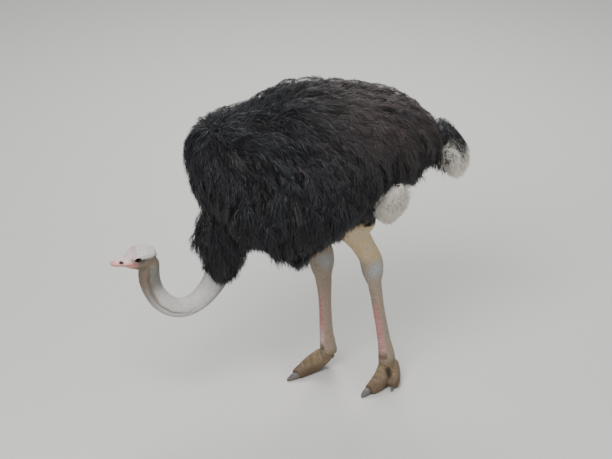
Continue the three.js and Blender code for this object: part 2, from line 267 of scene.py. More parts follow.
rings, around = body["rings"], body["sides"]
ringAngles = (np.arange(rings) + 0.5) / rings * math.pi
sideAngles = np.arange(around) / around * 2 * math.pi
ways = np.array([[(math.sin(a) * math.sin(b), -math.cos(a), math.sin(a) * math.cos(b)) for b in sideAngles]
                 for a in ringAngles])
reaches = np.array([[rayReach(bodyTree, body["middle"], Vector(way)) for way in row] for row in ways])
reaches = overWindow(overWindow(reaches, body["window"], np.minimum), body["window"], np.maximum)
for _ in range(body["blurs"]):
    padded = np.pad(reaches, ((1, 1), (0, 0)), mode="edge")
    reaches = (padded[:-2] + padded[2:] + np.roll(reaches, 1, 1) + np.roll(reaches, -1, 1)) / 4
middle = np.array(body["middle"])
corePoints = np.vstack([middle + ways.reshape(-1, 3) * reaches.reshape(-1, 1),
                        middle + (0, -reaches[0].mean(), 0), middle + (0, reaches[-1].mean(), 0)])
last = (rings - 1) * around
faces = [(base + j, base + (j + 1) % around, base + around + (j + 1) % around, base + around + j)
         for base in range(0, last, around) for j in range(around)]
for j in range(around):
    faces.append((len(corePoints) - 2, (j + 1) % around, j))
    faces.append((len(corePoints) - 1, last + j, last + (j + 1) % around))
core = newPiece("core", bpy.data.meshes.new("core"))
core.data.from_pydata(corePoints.tolist(), [], faces)
editAll(core, bpy.ops.mesh.normals_make_consistent, inside=False)
corePoints = points(core)
for turn in range(body["rounds"]):
    movePoints(core, corePoints)
    nearest, facing, away = nearestOn(bodyTree, corePoints)
    gap = np.where(((corePoints - nearest) * facing).sum(axis=1) < 0, away, -away)
    corePoints = corePoints - pointNormals(core) * np.clip(body["depth"] - gap, -0.014, 0.016)[:, None]
    corePoints = relax(corePoints, edgesOf(core), 3 if turn < 8 else 1)
movePoints(core, corePoints)

outer = copyNodes("outer", ["trunk", "wing_left", "wing_right", "neck_base"])
addModifier(outer, "REMESH", mode="VOXEL", voxel_size=outside["voxel"])
outerPoints = relax(points(outer), edgesOf(outer), outside["rounds"])
movePoints(outer, outerPoints)
movePoints(outer, outerPoints + pointNormals(outer) * outside["swell"])
outerTree = treeOf(outer)

# balls for the root of the neck and the breast
(topBack, topUp, topSize), (footBack, footUp, footSize) = body["neckTop"], body["neckFoot"]
balls = [(0, topBack + (footBack - topBack) * share, topUp + (footUp - topUp) * share,
          topSize + (footSize - topSize) * share ** 0.75)
         for share in np.linspace(0, 1, body["neckBalls"]).tolist()]
balls += [(0, *ball) for ball in body["breast"]]
# more fill the corners, so that the coat is nowhere much deeper than elsewhere
outerPlaces, outerWays = points(outer), pointNormals(outer)
least = nearestOn(treeOf(core), outerPlaces)[2]
for x, y, z, size in balls:
    least = np.minimum(least, np.abs(np.linalg.norm(outerPlaces - (x, y, z), axis=1) - size))
for _ in range(body["fillers"]):
    deepest = least.argmax()
    if least[deepest] < body["deepest"]:
        break
    inwards = outerPlaces[deepest] - outerWays[deepest] * (body["depth"] + body["filler"])
    nearest, facing, _, _ = outerTree.find_nearest(inwards.tolist())
    size = min(body["filler"], (nearest - Vector(inwards)).dot(facing) - body["depth"] * 0.8)
    least = np.where(np.linalg.norm(outerPlaces - outerPlaces[deepest], axis=1) < body["apart"], 0, least)
    if size > body["smallest"]:
        balls.append((*inwards.tolist(), size))
        least = np.minimum(least, np.abs(np.linalg.norm(outerPlaces - inwards, axis=1) - size))
for *place, size in balls:
    joinBall(core, place, size, 32)
addModifier(core, "REMESH", mode="VOXEL", voxel_size=body["voxel"])
corePoints = relax(points(core), edgesOf(core), 6)
# nowhere nearer to the coat's outside than its least depth
for _ in range(3):
    nearest, facing, _ = nearestOn(outerTree, corePoints)
    gap = ((nearest - corePoints) * facing).sum(axis=1)
    onBody = smoothStep(corePoints[:, 2], 0.74, 0.82)
    corePoints = corePoints - facing * (np.clip(body["least"] - gap, 0, 0.12) * onBody)[:, None]
    corePoints = relax(corePoints, edgesOf(core), 2)
movePoints(core, corePoints)
guide = twinOf(core)  # the plumes of the body grow from it
print("body core", len(core.data.polygons))

# neck and head
billTip = Vector((0, -0.8113, 0.762))
neck = {"voxel": 0.0044, "headVoxel": 0.0016, "headStart": -0.572, "headFloor": 0.675,
        "groove": 0.0068, "pipe": 0.0026, "slim": 0.26, "wrinkle": 0.0005, "rings": 0.0006}
# the neck's middle line, from the breast down and up to the head
neckPath = [(-0.30, 0.682), (-0.342, 0.622), (-0.380, 0.566), (-0.428, 0.519), (-0.486, 0.497), (-0.544, 0.512),
            (-0.594, 0.555), (-0.626, 0.612), (-0.640, 0.672), (-0.638, 0.728), (-0.633, 0.772)]
eye = {"middle": (0.027, 0.114, 0.019), "radius": 0.020, "width": 0.0165, "upper": 0.0108, "lower": 0.0088,
       "lid": 0.0017, "opening": 0.0050}
# places on the side of the head: how far back from the bill's tip and how far above it
face = {"eye": eye["middle"][1:], "ear": (0.160, 0.004), "nostril": (0.047, 0.0085), "jawBend": (0.137, 0.028),
        "lores": (0.086, 0.018), "cheek": (0.135, -0.012)}
headNodes = ["neck_upper", "head", "eye_left", "eye_right", "bill_upper", "bill_lower"]
neckHead = copyNodes("neckHead", ["neck_lower", *headNodes])
headTarget = copyNodes("headTarget", headNodes)
addModifier(neckHead, "REMESH", mode="VOXEL", voxel_size=neck["voxel"])
addModifier(headTarget, "REMESH", mode="VOXEL", voxel_size=neck["headVoxel"])
smoothOut(headTarget, 45, 0.6, 0.62)
headTree = treeOf(headTarget)
remove(headTarget)


def splitFaces(piece, test):
    # finer faces where the test on the faces' middles holds
    chosen = test(rowsOf(piece.data.polygons, "center", 3).astype(float))
    select(piece)
    bpy.ops.object.mode_set(mode="EDIT")
    bpy.ops.mesh.select_all(action="DESELECT")
    bpy.ops.object.mode_set(mode="OBJECT")
    piece.data.polygons.foreach_set("select", chosen)
    bpy.ops.object.mode_set(mode="EDIT")
    bpy.ops.mesh.select_mode(type="FACE")
    bpy.ops.mesh.subdivide(number_cuts=1)
    bpy.ops.object.mode_set(mode="OBJECT")


def headSpace(co):
    # distance out from the middle plane, back from the bill's tip and above it
    return np.abs(co[:, 0]), co[:, 1] - billTip.y, co[:, 2] - billTip.z


def awayFrom(along, up, place, stretch=1):
    return np.hypot((along - place[0]) / stretch, up - place[1])


def mouthHeight(along):
    # the gape, from the bill's tip to its corner under the eye
    return -0.0015 - 0.052 * np.clip(along, 0, 0.11) + 0.03 * np.clip(along - 0.05, 0, 0.06)


def fineHead(co):
    out, along, up = headSpace(co)
    nearMouth = (along < 0.124) & (np.abs(up + 0.002 + 0.03 * along) < 0.008)
    nearNostril = awayFrom(along, up, (0.047, 0.008)) < 0.014
    nearEye = (awayFrom(along, up, face["eye"]) < 0.026) & (out > 0.018)
    return nearEye | nearMouth | nearNostril | (awayFrom(along, up, face["ear"]) < 0.014) & (out > 0.02)


movePoints(neckHead, relax(points(neckHead), edgesOf(neckHead), 8))
splitFaces(neckHead, lambda co: (co[:, 1] < neck["headStart"]) & (co[:, 2] > neck["headFloor"]))
splitFaces(neckHead, fineHead)
headPoints = points(neckHead)
headEdges = edgesOf(neckHead)
onHead = (smoothStep(neck["headStart"] - headPoints[:, 1], 0, 0.01) *
          smoothStep(headPoints[:, 2] - neck["headFloor"], 0, 0.02))
nearHead = np.nonzero(onHead > 0)[0]
nearest = nearestOn(headTree, headPoints[nearHead])[0]
headPoints[nearHead] += (nearest - headPoints[nearHead]) * onHead[nearHead, None]
headPoints = relax(headPoints, headEdges, 2, 0.5)
_, along, up = headSpace(headPoints)
jawBend = bump(np.abs(awayFrom(along, up, face["jawBend"]) - 0.066), 0.030)
jawBend = jawBend * smoothStep(along, 0.120, 0.145) * smoothStep(0.030 - up, -0.03, 0.005)
headPoints = relax(headPoints, headEdges, 60, 0.6, jawBend)
# the bill is slender: both halves are drawn in towards the line of the mouth
_, along, up = headSpace(headPoints)
headPoints[:, 2] -= neck["slim"] * onHead * bump(np.abs(along - 0.047), 0.052) * (up - mouthHeight(along))
movePoints(neckHead, headPoints)

# sculpted detail of the head, as moves along the normals
out, along, up = headSpace(headPoints)
overMouth = up - mouthHeight(along)
inMouth = smoothStep(0.118 - along, 0, 0.012)
lips = inMouth * smoothStep(along, 0.01, 0.03)
lift = -0.0026 * hump(overMouth, 0.0016) * inMouth  # the gape
lift += 0.0012 * hump(overMouth - 0.005, 0.003) * lips
lift += 0.0010 * hump(overMouth + 0.005, 0.003) * lips
backFromNostril = along - face["nostril"][0]
nostril = np.hypot(backFromNostril / 1.9, up - face["nostril"][1] - 0.10 * backFromNostril)
lift -= 0.0042 * bump(nostril, 0.0042) * (out > 0.004)
lift += 0.0009 * hump(nostril - 0.0052, 0.0016) * (out > 0.004)
ridge = smoothStep(0.1 - along, 0, 0.04) * smoothStep(along, 0.02, 0.04)
lift += 0.0016 * hump(out, 0.007) * ridge * (up > 0.006)  # the bill's keel
lift += 0.0012 * bump(np.hypot(along - 0.010, out), 0.013) * (up > 0)  # the nail at its tip
ear = awayFrom(along, up, face["ear"])
lift -= 0.0065 * bump(ear, 0.0065) * (out > 0.015)
lift += 0.0016 * hump(ear - 0.0085, 0.003) * (out > 0.015)
brow = np.abs(up - 0.0335 + 12 * (along - 0.112) ** 2)
lift += 0.0030 * hump(brow, 0.004) * bump(np.abs(along - 0.112), 0.032) * (out > 0.012)
lift -= 0.0016 * bump(awayFrom(along, up, face["lores"]), 0.016) * (out > 0.010)  # hollow ahead of the eye
lift += 0.0022 * bump(awayFrom(along, up, face["cheek"]), 0.026) * (out > 0.012)
headPoints = headPoints + pointNormals(neckHead) * (lift * onHead)[:, None]


def eyeMiddle(hand):
    return np.array([hand * eye["middle"][0], billTip.y + eye["middle"][1], billTip.z + eye["middle"][2]])


# eyelids: skin lies over the eyeball except in the almond opening, where it dives behind it
for hand in sides.values():
    spoke = headPoints - eyeMiddle(hand)
    reach = np.linalg.norm(spoke, axis=1)
    across = (spoke[:, 1] + 0.12 * spoke[:, 2]) / eye["width"]
    edgeUp = eye["upper"] * np.clip(1 - np.abs(across) ** 2.2, 0, 1)
    edgeDown = -eye["lower"] * np.clip(1 - np.abs(across) ** 1.8, 0, 1)
    level = spoke[:, 2] - 0.10 * spoke[:, 1]
    inside = np.where(np.abs(across) < 1, np.minimum(edgeUp - level, level - edgeDown), -0.01)
    onSide = (hand * headPoints[:, 0] > 0.028) & (reach < 0.034)
    opened = smoothStep(inside, -0.0005, 0.0011) * onSide
    rim = hump(inside + 0.0014, 0.0013) * onSide * (np.abs(across) < 1.25)
    fold = hump(inside + 0.0062, 0.0011) * onSide
    over = np.clip(eye["radius"] + eye["lid"] - reach, 0, 0.01) * onSide * (1 - opened)
    push = over + 0.0011 * rim - 0.0010 * fold
    push = push * (1 - opened) + (eye["radius"] - eye["opening"] - reach) * opened
    headPoints = headPoints + spoke / np.maximum(reach, 1e-6)[:, None] * push[:, None]

# the windpipe stands out along the outside of the neck's bend, with a groove beside it, in finely creased skin
steps = np.linspace(0, len(neckPath) - 1, 121)
path = np.stack([np.interp(steps, range(len(neckPath)), column) for column in zip(*neckPath)], axis=1)
travel = np.concatenate([[0], np.cumsum(np.linalg.norm(np.diff(path, axis=0), axis=1))])
heading = np.gradient(path, axis=0)
heading /= np.linalg.norm(heading, axis=1)[:, None]


def neckStep(co):
    return np.linalg.norm(co[:, None, 1:] - path[None], axis=2).argmin(axis=1)


def neckSpace(co):
    # length along the neck and angle round it: 0 at the side, below zero on the windpipe's side
    nearest = neckStep(co)
    offset = co[:, 1:] - path[nearest]
    outwards = heading[nearest][:, 1] * offset[:, 0] - heading[nearest][:, 0] * offset[:, 1]
    return travel[nearest], np.arctan2(outwards, np.abs(co[:, 0]))


def besidePipe(length, angle):
    # angle from the groove, which runs further to the front near the head
    return angle + 0.52 - 0.26 * smoothStep(length, 0.42, 0.60)


length, angle = neckSpace(headPoints)
onNeck = (1 - onHead * 0.9) * smoothStep(length, 0.03, 0.08)
fromGroove = besidePipe(length, angle) + (0.10 * np.sin(length * 23) + 0.06 * np.sin(length * 51 + 1))
pipe = smoothStep(length, 0.20, 0.32)
movedIn = neck["groove"] * pipe * hump(fromGroove, 0.16)
movedOut = neck["pipe"] * pipe * hump(fromGroove + 0.50, 0.28)
wrinkle = np.sin(length * 820 + 2.2 * np.sin(angle * 3 + length * 40) + 1.1 * np.sin(length * 190))
wrinkle = neck["wrinkle"] * wrinkle
ringed = neck["rings"] * np.sin(length * 330 + 1.5 * np.sin(angle * 2)) * smoothStep(angle + 0.2, 0, 0.5)
headPoints = headPoints + pointNormals(neckHead) * ((movedOut - movedIn + wrinkle + ringed) * onNeck)[:, None]
movePoints(neckHead, headPoints)
neckGuide = twinOf(neckHead)  # the down grows from it
print("neck and head", len(neckHead.data.polygons))

# legs: the drumstick runs on into the body
legs = {"voxel": 0.0050, "rounds": 14, "drumstick": 0.088, "out": 0.112,
        "back": {"left": 0.125, "right": 0.105}}
# hip, hock and ankle of each leg
legAxes = {1: ((0.140, 0.107, 0.985), (0.093, 0.342, 0.575), (0.094, 0.416, 0.088)),
           -1: ((-0.140, -0.023, 0.965), (-0.079, 0.180, 0.560), (-0.072, 0.204, 0.088))}
knobs = {"hock": 0.007, "hockSize": 0.075, "dent": 0.003, "dentBelow": 0.085, "dentSize": 0.06}
legPieces = []
for name, hand in sides.items():
    leg = copyNodes("leg", [f"thigh_{name}", f"shank_{name}", f"toe_main_{name}", f"toe_outer_{name}"])
    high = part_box(f"thigh_{name}")[1]
    for share, size in ((0.0, 0.86), (0.5, 1.0), (1.0, 1.1)):
        place = (legs["out"] * hand, high.y - legs["back"][name] - 0.055 * share,
                 high.z - 0.045 + 0.10 * share)
        joinBall(leg, place, legs["drumstick"] * size, 24)
    addModifier(leg, "REMESH", mode="VOXEL", voxel_size=legs["voxel"])
    smoothOut(leg, legs["rounds"])
    legPieces.append(leg)
print("legs", [len(leg.data.polygons) for leg in legPieces])

# the fleshy end of the tail, and the wing tips that carry the white plumes
stubDepths = {"tail": 0.036, "wing_plumes_left": 0.034, "wing_plumes_right": 0.034}
stubShape = {"voxel": 0.009, "rounds": 20, "turns": 8, "press": 0.006, "lastVoxel": 0.008}
stubs = {}
for name, depth in stubDepths.items():
    stub = copyNodes(f"stub_{name}", [name])
    addModifier(stub, "REMESH", mode="VOXEL", voxel_size=stubShape["voxel"])
    stubPoints = relax(points(stub), edgesOf(stub), stubShape["rounds"])
    stubTree = treeOf(stub)
    for _ in range(stubShape["turns"]):
        movePoints(stub, stubPoints)
        press = np.clip(depth - nearestOn(stubTree, stubPoints)[2], 0, stubShape["press"])
        stubPoints = relax(stubPoints - pointNormals(stub) * press[:, None], edgesOf(stub), 2)
    movePoints(stub, stubPoints)
    addModifier(stub, "REMESH", mode="VOXEL", voxel_size=stubShape["lastVoxel"])
    stubs[name] = stub
stubGuides = {name: twinOf(stub) for name, stub in stubs.items()}
print("stubs", list(stubs))

# one skin, in which the pieces run smoothly into each other
skin = core
skin.name = skin.data.name = "skin"
for piece in (neckHead, *legPieces, *stubs.values()):
    addModifier(skin, "BOOLEAN", operation="UNION", solver="MANIFOLD", object=piece)
    remove(piece)
skinPoints = points(skin)
neckRoot = nearTo(skinPoints, (0, -0.318, 0.665), 0.10)
hips = sum(nearTo(skinPoints, (0.115 * hand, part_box(f"thigh_{name}")[1].y - 0.14, 0.90), 0.15, (1, 1, 1.2))
           for name, hand in sides.items())
skinPoints = relax(skinPoints, edgesOf(skin), 60, 0.5, np.clip(neckRoot * 1.6 + hips * 1.5, 0, 1))
movePoints(skin, skinPoints)
# the hocks are knobbly
skinWays = pointNormals(skin)
for _, hock, _ in legAxes.values():
    knob = nearTo(skinPoints, hock, knobs["hockSize"], (1, 1, 1.5))
    onShank = (np.linalg.norm(skinPoints[:, :2] - hock[:2], axis=1) < 0.12) * (skinPoints[:, 2] < 0.6)
    dent = bump(np.abs(skinPoints[:, 2] - hock[2] + knobs["dentBelow"]), knobs["dentSize"]) * onShank
    skinPoints = skinPoints + skinWays * (knobs["hock"] * knob - knobs["dent"] * dent)[:, None]
movePoints(skin, skinPoints)
shadeSmooth(skin)
skinTree = treeOf(skin)
print("skin", len(skin.data.polygons))

# plumage: loose plumes of thin strands, each on a shaft that rises to the coat's outside and hangs over
coat = {"shaftSteps": 6, "strands": 26, "spacing": 0.0134, "partSpacing": 0.0098, "perPiece": 1450,
        "length": (0.085, 0.135), "strand": (0.036, 0.060), "width": 0.0021, "stray": (0.003, 0.021),
        "lobe": 0.092, "lobeLift": 0.034, "curl": 0.65, "arch": 0, "lift": 0.22, "droop": 0.75, "clear": 0.007}
fronds = {**coat, "shaftSteps": 7, "strands": 84, "spacing": 0.048, "perPiece": 400,
          "length": (0.12, 0.165), "strand": (0.034, 0.056), "width": 0.0020, "stray": (0.004, 0.024),
          "curl": 0.75, "arch": 0.014, "lift": 0.34, "clear": 0.012}
random = np.random.default_rng(11)


def unit(vectors):
    return vectors / np.maximum(np.linalg.norm(vectors, axis=-1, keepdims=True), 1e-9)


def dot(a, b):
    return (a * b).sum(axis=-1, keepdims=True)


def lieFully(place, normal):
    # how the plumes lie, and how surely: backwards along the back, downwards on the breast and the sides
    backwards = smoothStep(place[:, 2], 1.10, 1.34)[:, None] + 0.12
    backwards = backwards * smoothStep(place[:, 1], -0.46, -0.24)[:, None]
    outwards = 0.10 * np.array([1.0, 0, 0]) * np.sign(place[:, :1])
    way = backwards * np.array([0, 1.0, 0]) + np.array([0, 0, -0.8]) + outwards
    way = way - dot(way, normal) * normal
    return unit(way), smoothStep(np.linalg.norm(way, axis=1), 0.15, 0.62)[:, None]


def lie(place, normal):
    return lieFully(place, normal)[0]


def lieWhite(place, normal):
    # the white plumes hang, and the tail's lie back first
    backwards = smoothStep(0.76 - place[:, 1], 0, 0.08)[:, None] * smoothStep(place[:, 1], 0.45, 0.55)[:, None]
    way = backwards * np.array([0, 1.4, 0]) + np.array([0, 0.1, -1.0])
    return unit(way - dot(way, normal) * normal)


def scatter(piece, spacing, keep=None):
    # points spread evenly over a surface, no two closer than the spacing, with their normals
    corners, co, no = trianglesOf(piece), points(piece), pointNormals(piece)
    one, two, three = (co[corners[:, i]] for i in range(3))
    area = np.linalg.norm(np.cross(two - one, three - one), axis=1) / 2
    if keep is not None:
        area = area * keep((one + two + three) / 3)
    chosen = random.choice(len(area), int(area.sum() / spacing ** 2 * 3.2), p=area / area.sum())
    a, b = random.random((2, len(chosen), 1))
    flip = a + b > 1
    a, b = np.where(flip, 1 - a, a), np.where(flip, 1 - b, b)
    place = one[chosen] * (1 - a - b) + two[chosen] * a + three[chosen] * b
    normal = unit(no[corners[chosen]].sum(axis=1))
    cells, kept = {}, []
    beside = [(i, j, k) for i in (-1, 0, 1) for j in (-1, 0, 1) for k in (-1, 0, 1)]
    keys = np.floor(place / spacing).astype(int).tolist()
    for index, ((i, j, k), (x, y, z)) in enumerate(zip(keys, place.tolist())):
        others = [other for di, dj, dk in beside for other in cells.get((i + di, j + dj, k + dk), ())]
        if all((u - x) ** 2 + (v - y) ** 2 + (w - z) ** 2 >= spacing ** 2 for u, v, w in others):
            cells.setdefault((i, j, k), []).append((x, y, z))
            kept.append(index)
    return place[kept], normal[kept]


def joinedMesh(name, co, faces, uv, colours):
    # one piece from arrays; each array of faces has one number of sides, and uv and colours belong to points
    mesh = bpy.data.meshes.new(name)
    mesh.vertices.add(len(co))
    mesh.vertices.foreach_set("co", co.astype(np.float32).ravel())
    corners = np.concatenate([face.ravel() for face in faces]).astype(np.int32)
    sizes = np.concatenate([np.full(len(face), face.shape[1]) for face in faces])
    mesh.loops.add(len(corners))
    mesh.loops.foreach_set("vertex_index", corners)
    mesh.polygons.add(len(sizes))
    mesh.polygons.foreach_set("loop_start", (np.cumsum(sizes) - sizes).astype(np.int32))
    mesh.polygons.foreach_set("use_smooth", np.ones(len(sizes), bool))
    mesh.update(calc_edges=True)
    bake = mesh.uv_layers.new(name="OFBake")
    bake.data.foreach_set("uv", uv[corners].astype(np.float32).ravel())
    paintPoints(mesh, colours)
    mesh.validate()
    return newPiece(name, mesh)


patchSize = 0.0028  # of one plume or tuft on the unwrapped skin


def unwrap(place):
    # where a point of the body lies on the unwrapped skin: along the body, and round it
    along = np.clip((place[:, 1] + 0.85) / 1.75, 0.01, 0.99)
    turn = (np.arctan2(place[:, 0], place[:, 2] - 1.0) / (2 * math.pi) + 0.5) % 1
    return np.stack([0.02 + 0.96 * turn, 0.02 + 0.96 * along], axis=1)


def growPlumes(root, normal, tree, length, layer, bend, settings, wayAt=lie):
    # shafts, as points and ways at even steps: root in the skin, out to the coat's surface, then along it
    steps = settings["shaftSteps"]
    place, outwards = root.copy(), normal.copy()
    # where the coat parts there is no clear way, so each plume takes its own
    own = random.normal(0, 1, root.shape)
    own = unit(own - dot(own, normal) * normal)
    unsure = 1 - lieFully(root, normal)[1] if wayAt is lie else 0
    # where the coat is thin its plumes lie nearer its outside
    nearest, facing, _ = nearestOn(tree, root)
    thickness = dot(nearest - root, facing)[:, 0]
    layer = np.minimum(layer, np.where(thickness > 0, thickness * 0.55, thickness - 0.004))
    way = unit(wayAt(root, normal) * (1 - unsure) + own * unsure + normal * 0.55)
    places, ways, outs = [place], [way], [outwards]
    for step in range(1, steps + 1):
        place = place + way * (length / steps)[:, None]
        share = min(1.0, step / (steps * 0.45))
        nearest, facing, _ = nearestOn(tree, place)
        arch = settings["arch"] * math.sin(math.pi * min(1, step / steps))
        pressed = 0.006 * np.clip(facing[:, 2], 0, 1)
        target = nearest - facing * (layer - arch + pressed)[:, None]
        place = place + (target - place) * (share ** 1.5 * 0.85)
        onSkin, clear, _ = nearestOn(skinTree, place)
        place = place + clear * np.clip(settings["clear"] * share - dot(place - onSkin, clear), 0, 0.03)
        outwards = unit(outwards * 0.5 + facing * 0.5)
        wanted = wayAt(place, outwards) * (1 - unsure) + own * unsure
        way = unit(way * 0.55 + wanted * 0.6 + bend * (0.30 * step / steps))
        places.append(place)
        ways.append(way)
        outs.append(outwards)
    return np.stack(places, 1), np.stack(ways, 1), np.stack(outs, 1)


def growStrands(name, shafts, ways, outs, tree, tint, uv, settings):
    # a piece of strands on both sides of each shaft, drooping, drawn together a few at a time
    strandLength = random.uniform(*settings["strand"], len(shafts))
    plumes, count = len(shafts), settings["strands"]
    steps = shafts.shape[1] - 1
    share = (np.arange(count) + 0.5) / count
    at = 0.16 + 0.84 * share ** 0.85
    at = np.clip(at[None] + random.normal(0, 0.02, (plumes, count)), 0.05, 1)
    whole = np.minimum((at * steps).astype(int), steps - 1)
    part = (at * steps - whole)[..., None]
    row = np.arange(plumes)[:, None]

    def onShaft(field):
        return field[row, whole] * (1 - part) + field[row, whole + 1] * part

    start, way, out = onShaft(shafts), unit(onShaft(ways)), unit(onShaft(outs))
    side = unit(np.cross(way, out))
    hand = np.where(np.arange(count) % 2 == 0, 1.0, -1.0)[None, :, None]
    spread = np.radians(70 - 52 * at)[..., None] * (1 + random.normal(0, 0.12, (plumes, count, 1)))
    first = way * np.cos(spread) + side * hand * np.sin(spread) + out * 0.10
    fall = np.array([0, 0, -1.0])
    fall = fall - np.minimum(dot(fall, out), 0) * out
    fall = fall * np.clip(np.linalg.norm(fall, axis=-1, keepdims=True) * 1.5, 0, 1)
    # neighbours share one random lean, so that their ends make a lock
    groups = random.normal(0, 1, (plumes, count // 4 + 2, 3))[:, np.arange(count) // 4]
    curl = settings["curl"]
    last = way * (0.75 - 0.4 * curl) + fall * settings["droop"] + side * hand * (0.25 - 0.8 * curl)
    last = last + groups * 0.22
    last = last - np.minimum(dot(last, out) + 0.02, 0) * out - out * 0.35 * curl
    first = unit(first + groups * 0.16 + random.normal(0, 0.14, first.shape) + out * settings["lift"])
    last = unit(last) + random.normal(0, 0.16, last.shape)
    reach = strandLength[:, None, None] * (0.75 + 0.45 * np.sin(at * 2.6))[..., None]
    reach = reach * random.uniform(0.78, 1.12, (plumes, count, 1))
    spots = [start]
    for step in range(3):
        q = (step + 0.35) / 2.7
        spots.append(spots[-1] + unit(first * (1 - q) + last * q) * reach / 3)
    # none stands further off the coat than its own small share, more underneath and less on the back
    most = random.uniform(*settings["stray"], plumes * count)
    for step, share in ((2, 0.6), (3, 1)):
        spot = spots[step].reshape(-1, 3)
        nearest, facing, _ = nearestOn(tree, spot)
        looser = 1 + 2.0 * np.clip(-facing[:, 2], 0, 1) - 0.75 * np.clip(facing[:, 2], 0, 1)
        allowed = (most * looser * share)[:, None]
        beyond = dot(spot - nearest, facing)
        spots[step] = np.where(beyond > allowed, nearest + facing * allowed, spot).reshape(spots[step].shape)
    roll = random.uniform(-0.9, 0.9, (plumes, count, 1))
    flat = unit(np.cross(unit(spots[3] - spots[0]), out))
    flat = flat * np.cos(roll) + out * np.sin(roll)
    thick = flat * (settings["width"] * random.uniform(0.75, 1.2, (plumes, count, 1)))
    # two quads and a pointed tip
    co = np.stack([spots[0] - thick * 0.35, spots[0] + thick * 0.35, spots[1] - thick * 0.5,
                   spots[1] + thick * 0.5, spots[2] - thick * 0.36, spots[2] + thick * 0.36, spots[3]], axis=2)
    base = (np.arange(plumes * count) * 7)[:, None]
    quads = np.concatenate([base + np.array([[0, 1, 3, 2]]), base + np.array([[2, 3, 5, 4]])])
    tips = base + np.array([[4, 5, 6]])
    along = np.array([0, 0, .33, .33, .66, .66, 1])
    patch = np.stack([((np.arange(count) + 0.5) / count - 0.5)[None, :, None] * np.ones((plumes, 1, 7)),
                      np.tile(along - 0.5, (plumes, count, 1))], -1)
    colour = np.ones((plumes, count, 7, 3))
    colour[..., :2] = tint[:, None, None, :2]
    # each strand is darker at its root deep in the coat and paler towards its tip: painted shade, with random
    # tone on top
    paler = tint[:, None, None, 2] * (0.55 + 0.6 * along) + random.normal(0, 0.25, (plumes, count, 1))
    colour[..., 2] = np.clip(paler, 0, 1)
    patch = (uv[:, None, None] + patch * patchSize).reshape(-1, 2)
    return joinedMesh(name, co.reshape(-1, 3), [quads, tips], patch, colour.reshape(-1, 3))


def plumePieces(name, order, grown, tree, root, tint, settings):
    # the plumes as pieces of a limited size, in the given order
    uv, pieces = unwrap(root), []
    for number, part in enumerate(np.array_split(order, math.ceil(len(order) / settings["perPiece"]))):
        shafts = (field[part] for field in grown)
        pieces.append(growStrands(f"{name}_{number}", *shafts, tree, tint[part], uv[part], settings))
    return pieces


def lobes(root, normal, spacing):
    # sorts the roots into rounded lobes; gives each its place across and along its lobe
    centres = []
    for index in random.permutation(len(root)):
        x, y, z = root[index]
        if all((x - c[0]) ** 2 + (y - c[1]) ** 2 + (z - c[2]) ** 2 > spacing ** 2 for c in centres):
            centres.append(root[index])
    centres = np.array(centres)
    nearest = np.array([((centres - spot) ** 2).sum(1).argmin() for spot in root])
    away = root - centres[nearest]
    way = lie(root, normal)
    side = unit(np.cross(way, normal))
    return dot(away, side)[:, 0] / spacing, dot(away, way)[:, 0] / spacing, side, nearest


def inBox(co, name, margin):
    # which points lie in a node's box, grown by the margin
    low, high = (np.array(corner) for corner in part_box(name))
    return (np.abs(co - (low + high) / 2) <= (high - low) / 2 + margin).all(axis=1)


def isBlack(co):
    # plumes grow above the bare thighs, and black ones keep off the white tips of the wings
    share = 1.0 * (co[:, 2] > 0.66)
    for name in sides:
        share *= ~inBox(co, f"wing_plumes_{name}", -0.012)
    return share


def onShoulders(co):
    return 1.0 * (co[:, 2] > 1.14) * (co[:, 1] < -0.20) * (np.abs(co[:, 0]) < 0.22)


root, normal = scatter(guide, coat["spacing"], isBlack)
# more, and shorter, over the shoulders, where the lie of the coat parts
more, moreNormal = scatter(guide, coat["partSpacing"], onShoulders)
root, normal = np.concatenate([root, more]), np.concatenate([normal, moreNormal])
across, ahead, sideways, lobe = lobes(root, normal, coat["lobe"])
lobeCount = lobe.max() + 1
print("plume roots", len(root), "lobes", lobeCount)
rounded = (1 - np.clip(np.abs(across) * 1.6, 0, 1) ** 2) * (0.45 + 0.55 * smoothStep(ahead, -0.7, 0.6))
layer = 0.034 - coat["lobeLift"] * random.uniform(0.3, 1.1, lobeCount)[lobe] * rounded
layer += random.uniform(-0.002, 0.010, len(root))
lean = random.normal(0, 0.80, lobeCount)[lobe] + random.normal(0, 0.35, len(root))
length = random.uniform(*coat["length"], len(root))
length[-len(more):] *= 0.6
grown = growPlumes(root, normal, outerTree, length, layer, sideways * (lean - across * 1.9)[:, None], coat)
# share of rust, of white, and of tone towards painted gleam, which holds random grey and painted shade
tint = np.zeros((len(root), 3))
tint[:, 0] = smoothStep(root[:, 1], -0.10, 0.30) * smoothStep(root[:, 2], 1.12, 1.30)
tint[:, 2] = random.normal(0.38, 0.12, len(root)) + random.normal(0, 0.20, lobeCount)[lobe]
tint[:, 2] -= 22 * (layer - 0.012)  # painted shade: darker deep in the coat
region = np.where(root[:, 2] > 1.24, 0, np.where(root[:, 1] < -0.28, 1, np.where(root[:, 0] > 0, 2, 3)))
region = np.where(root[:, 2] < 0.86, 4, region)
coatPieces = plumePieces("plumage", np.lexsort((root[:, 1], region)), grown, outerTree, root, tint, coat)
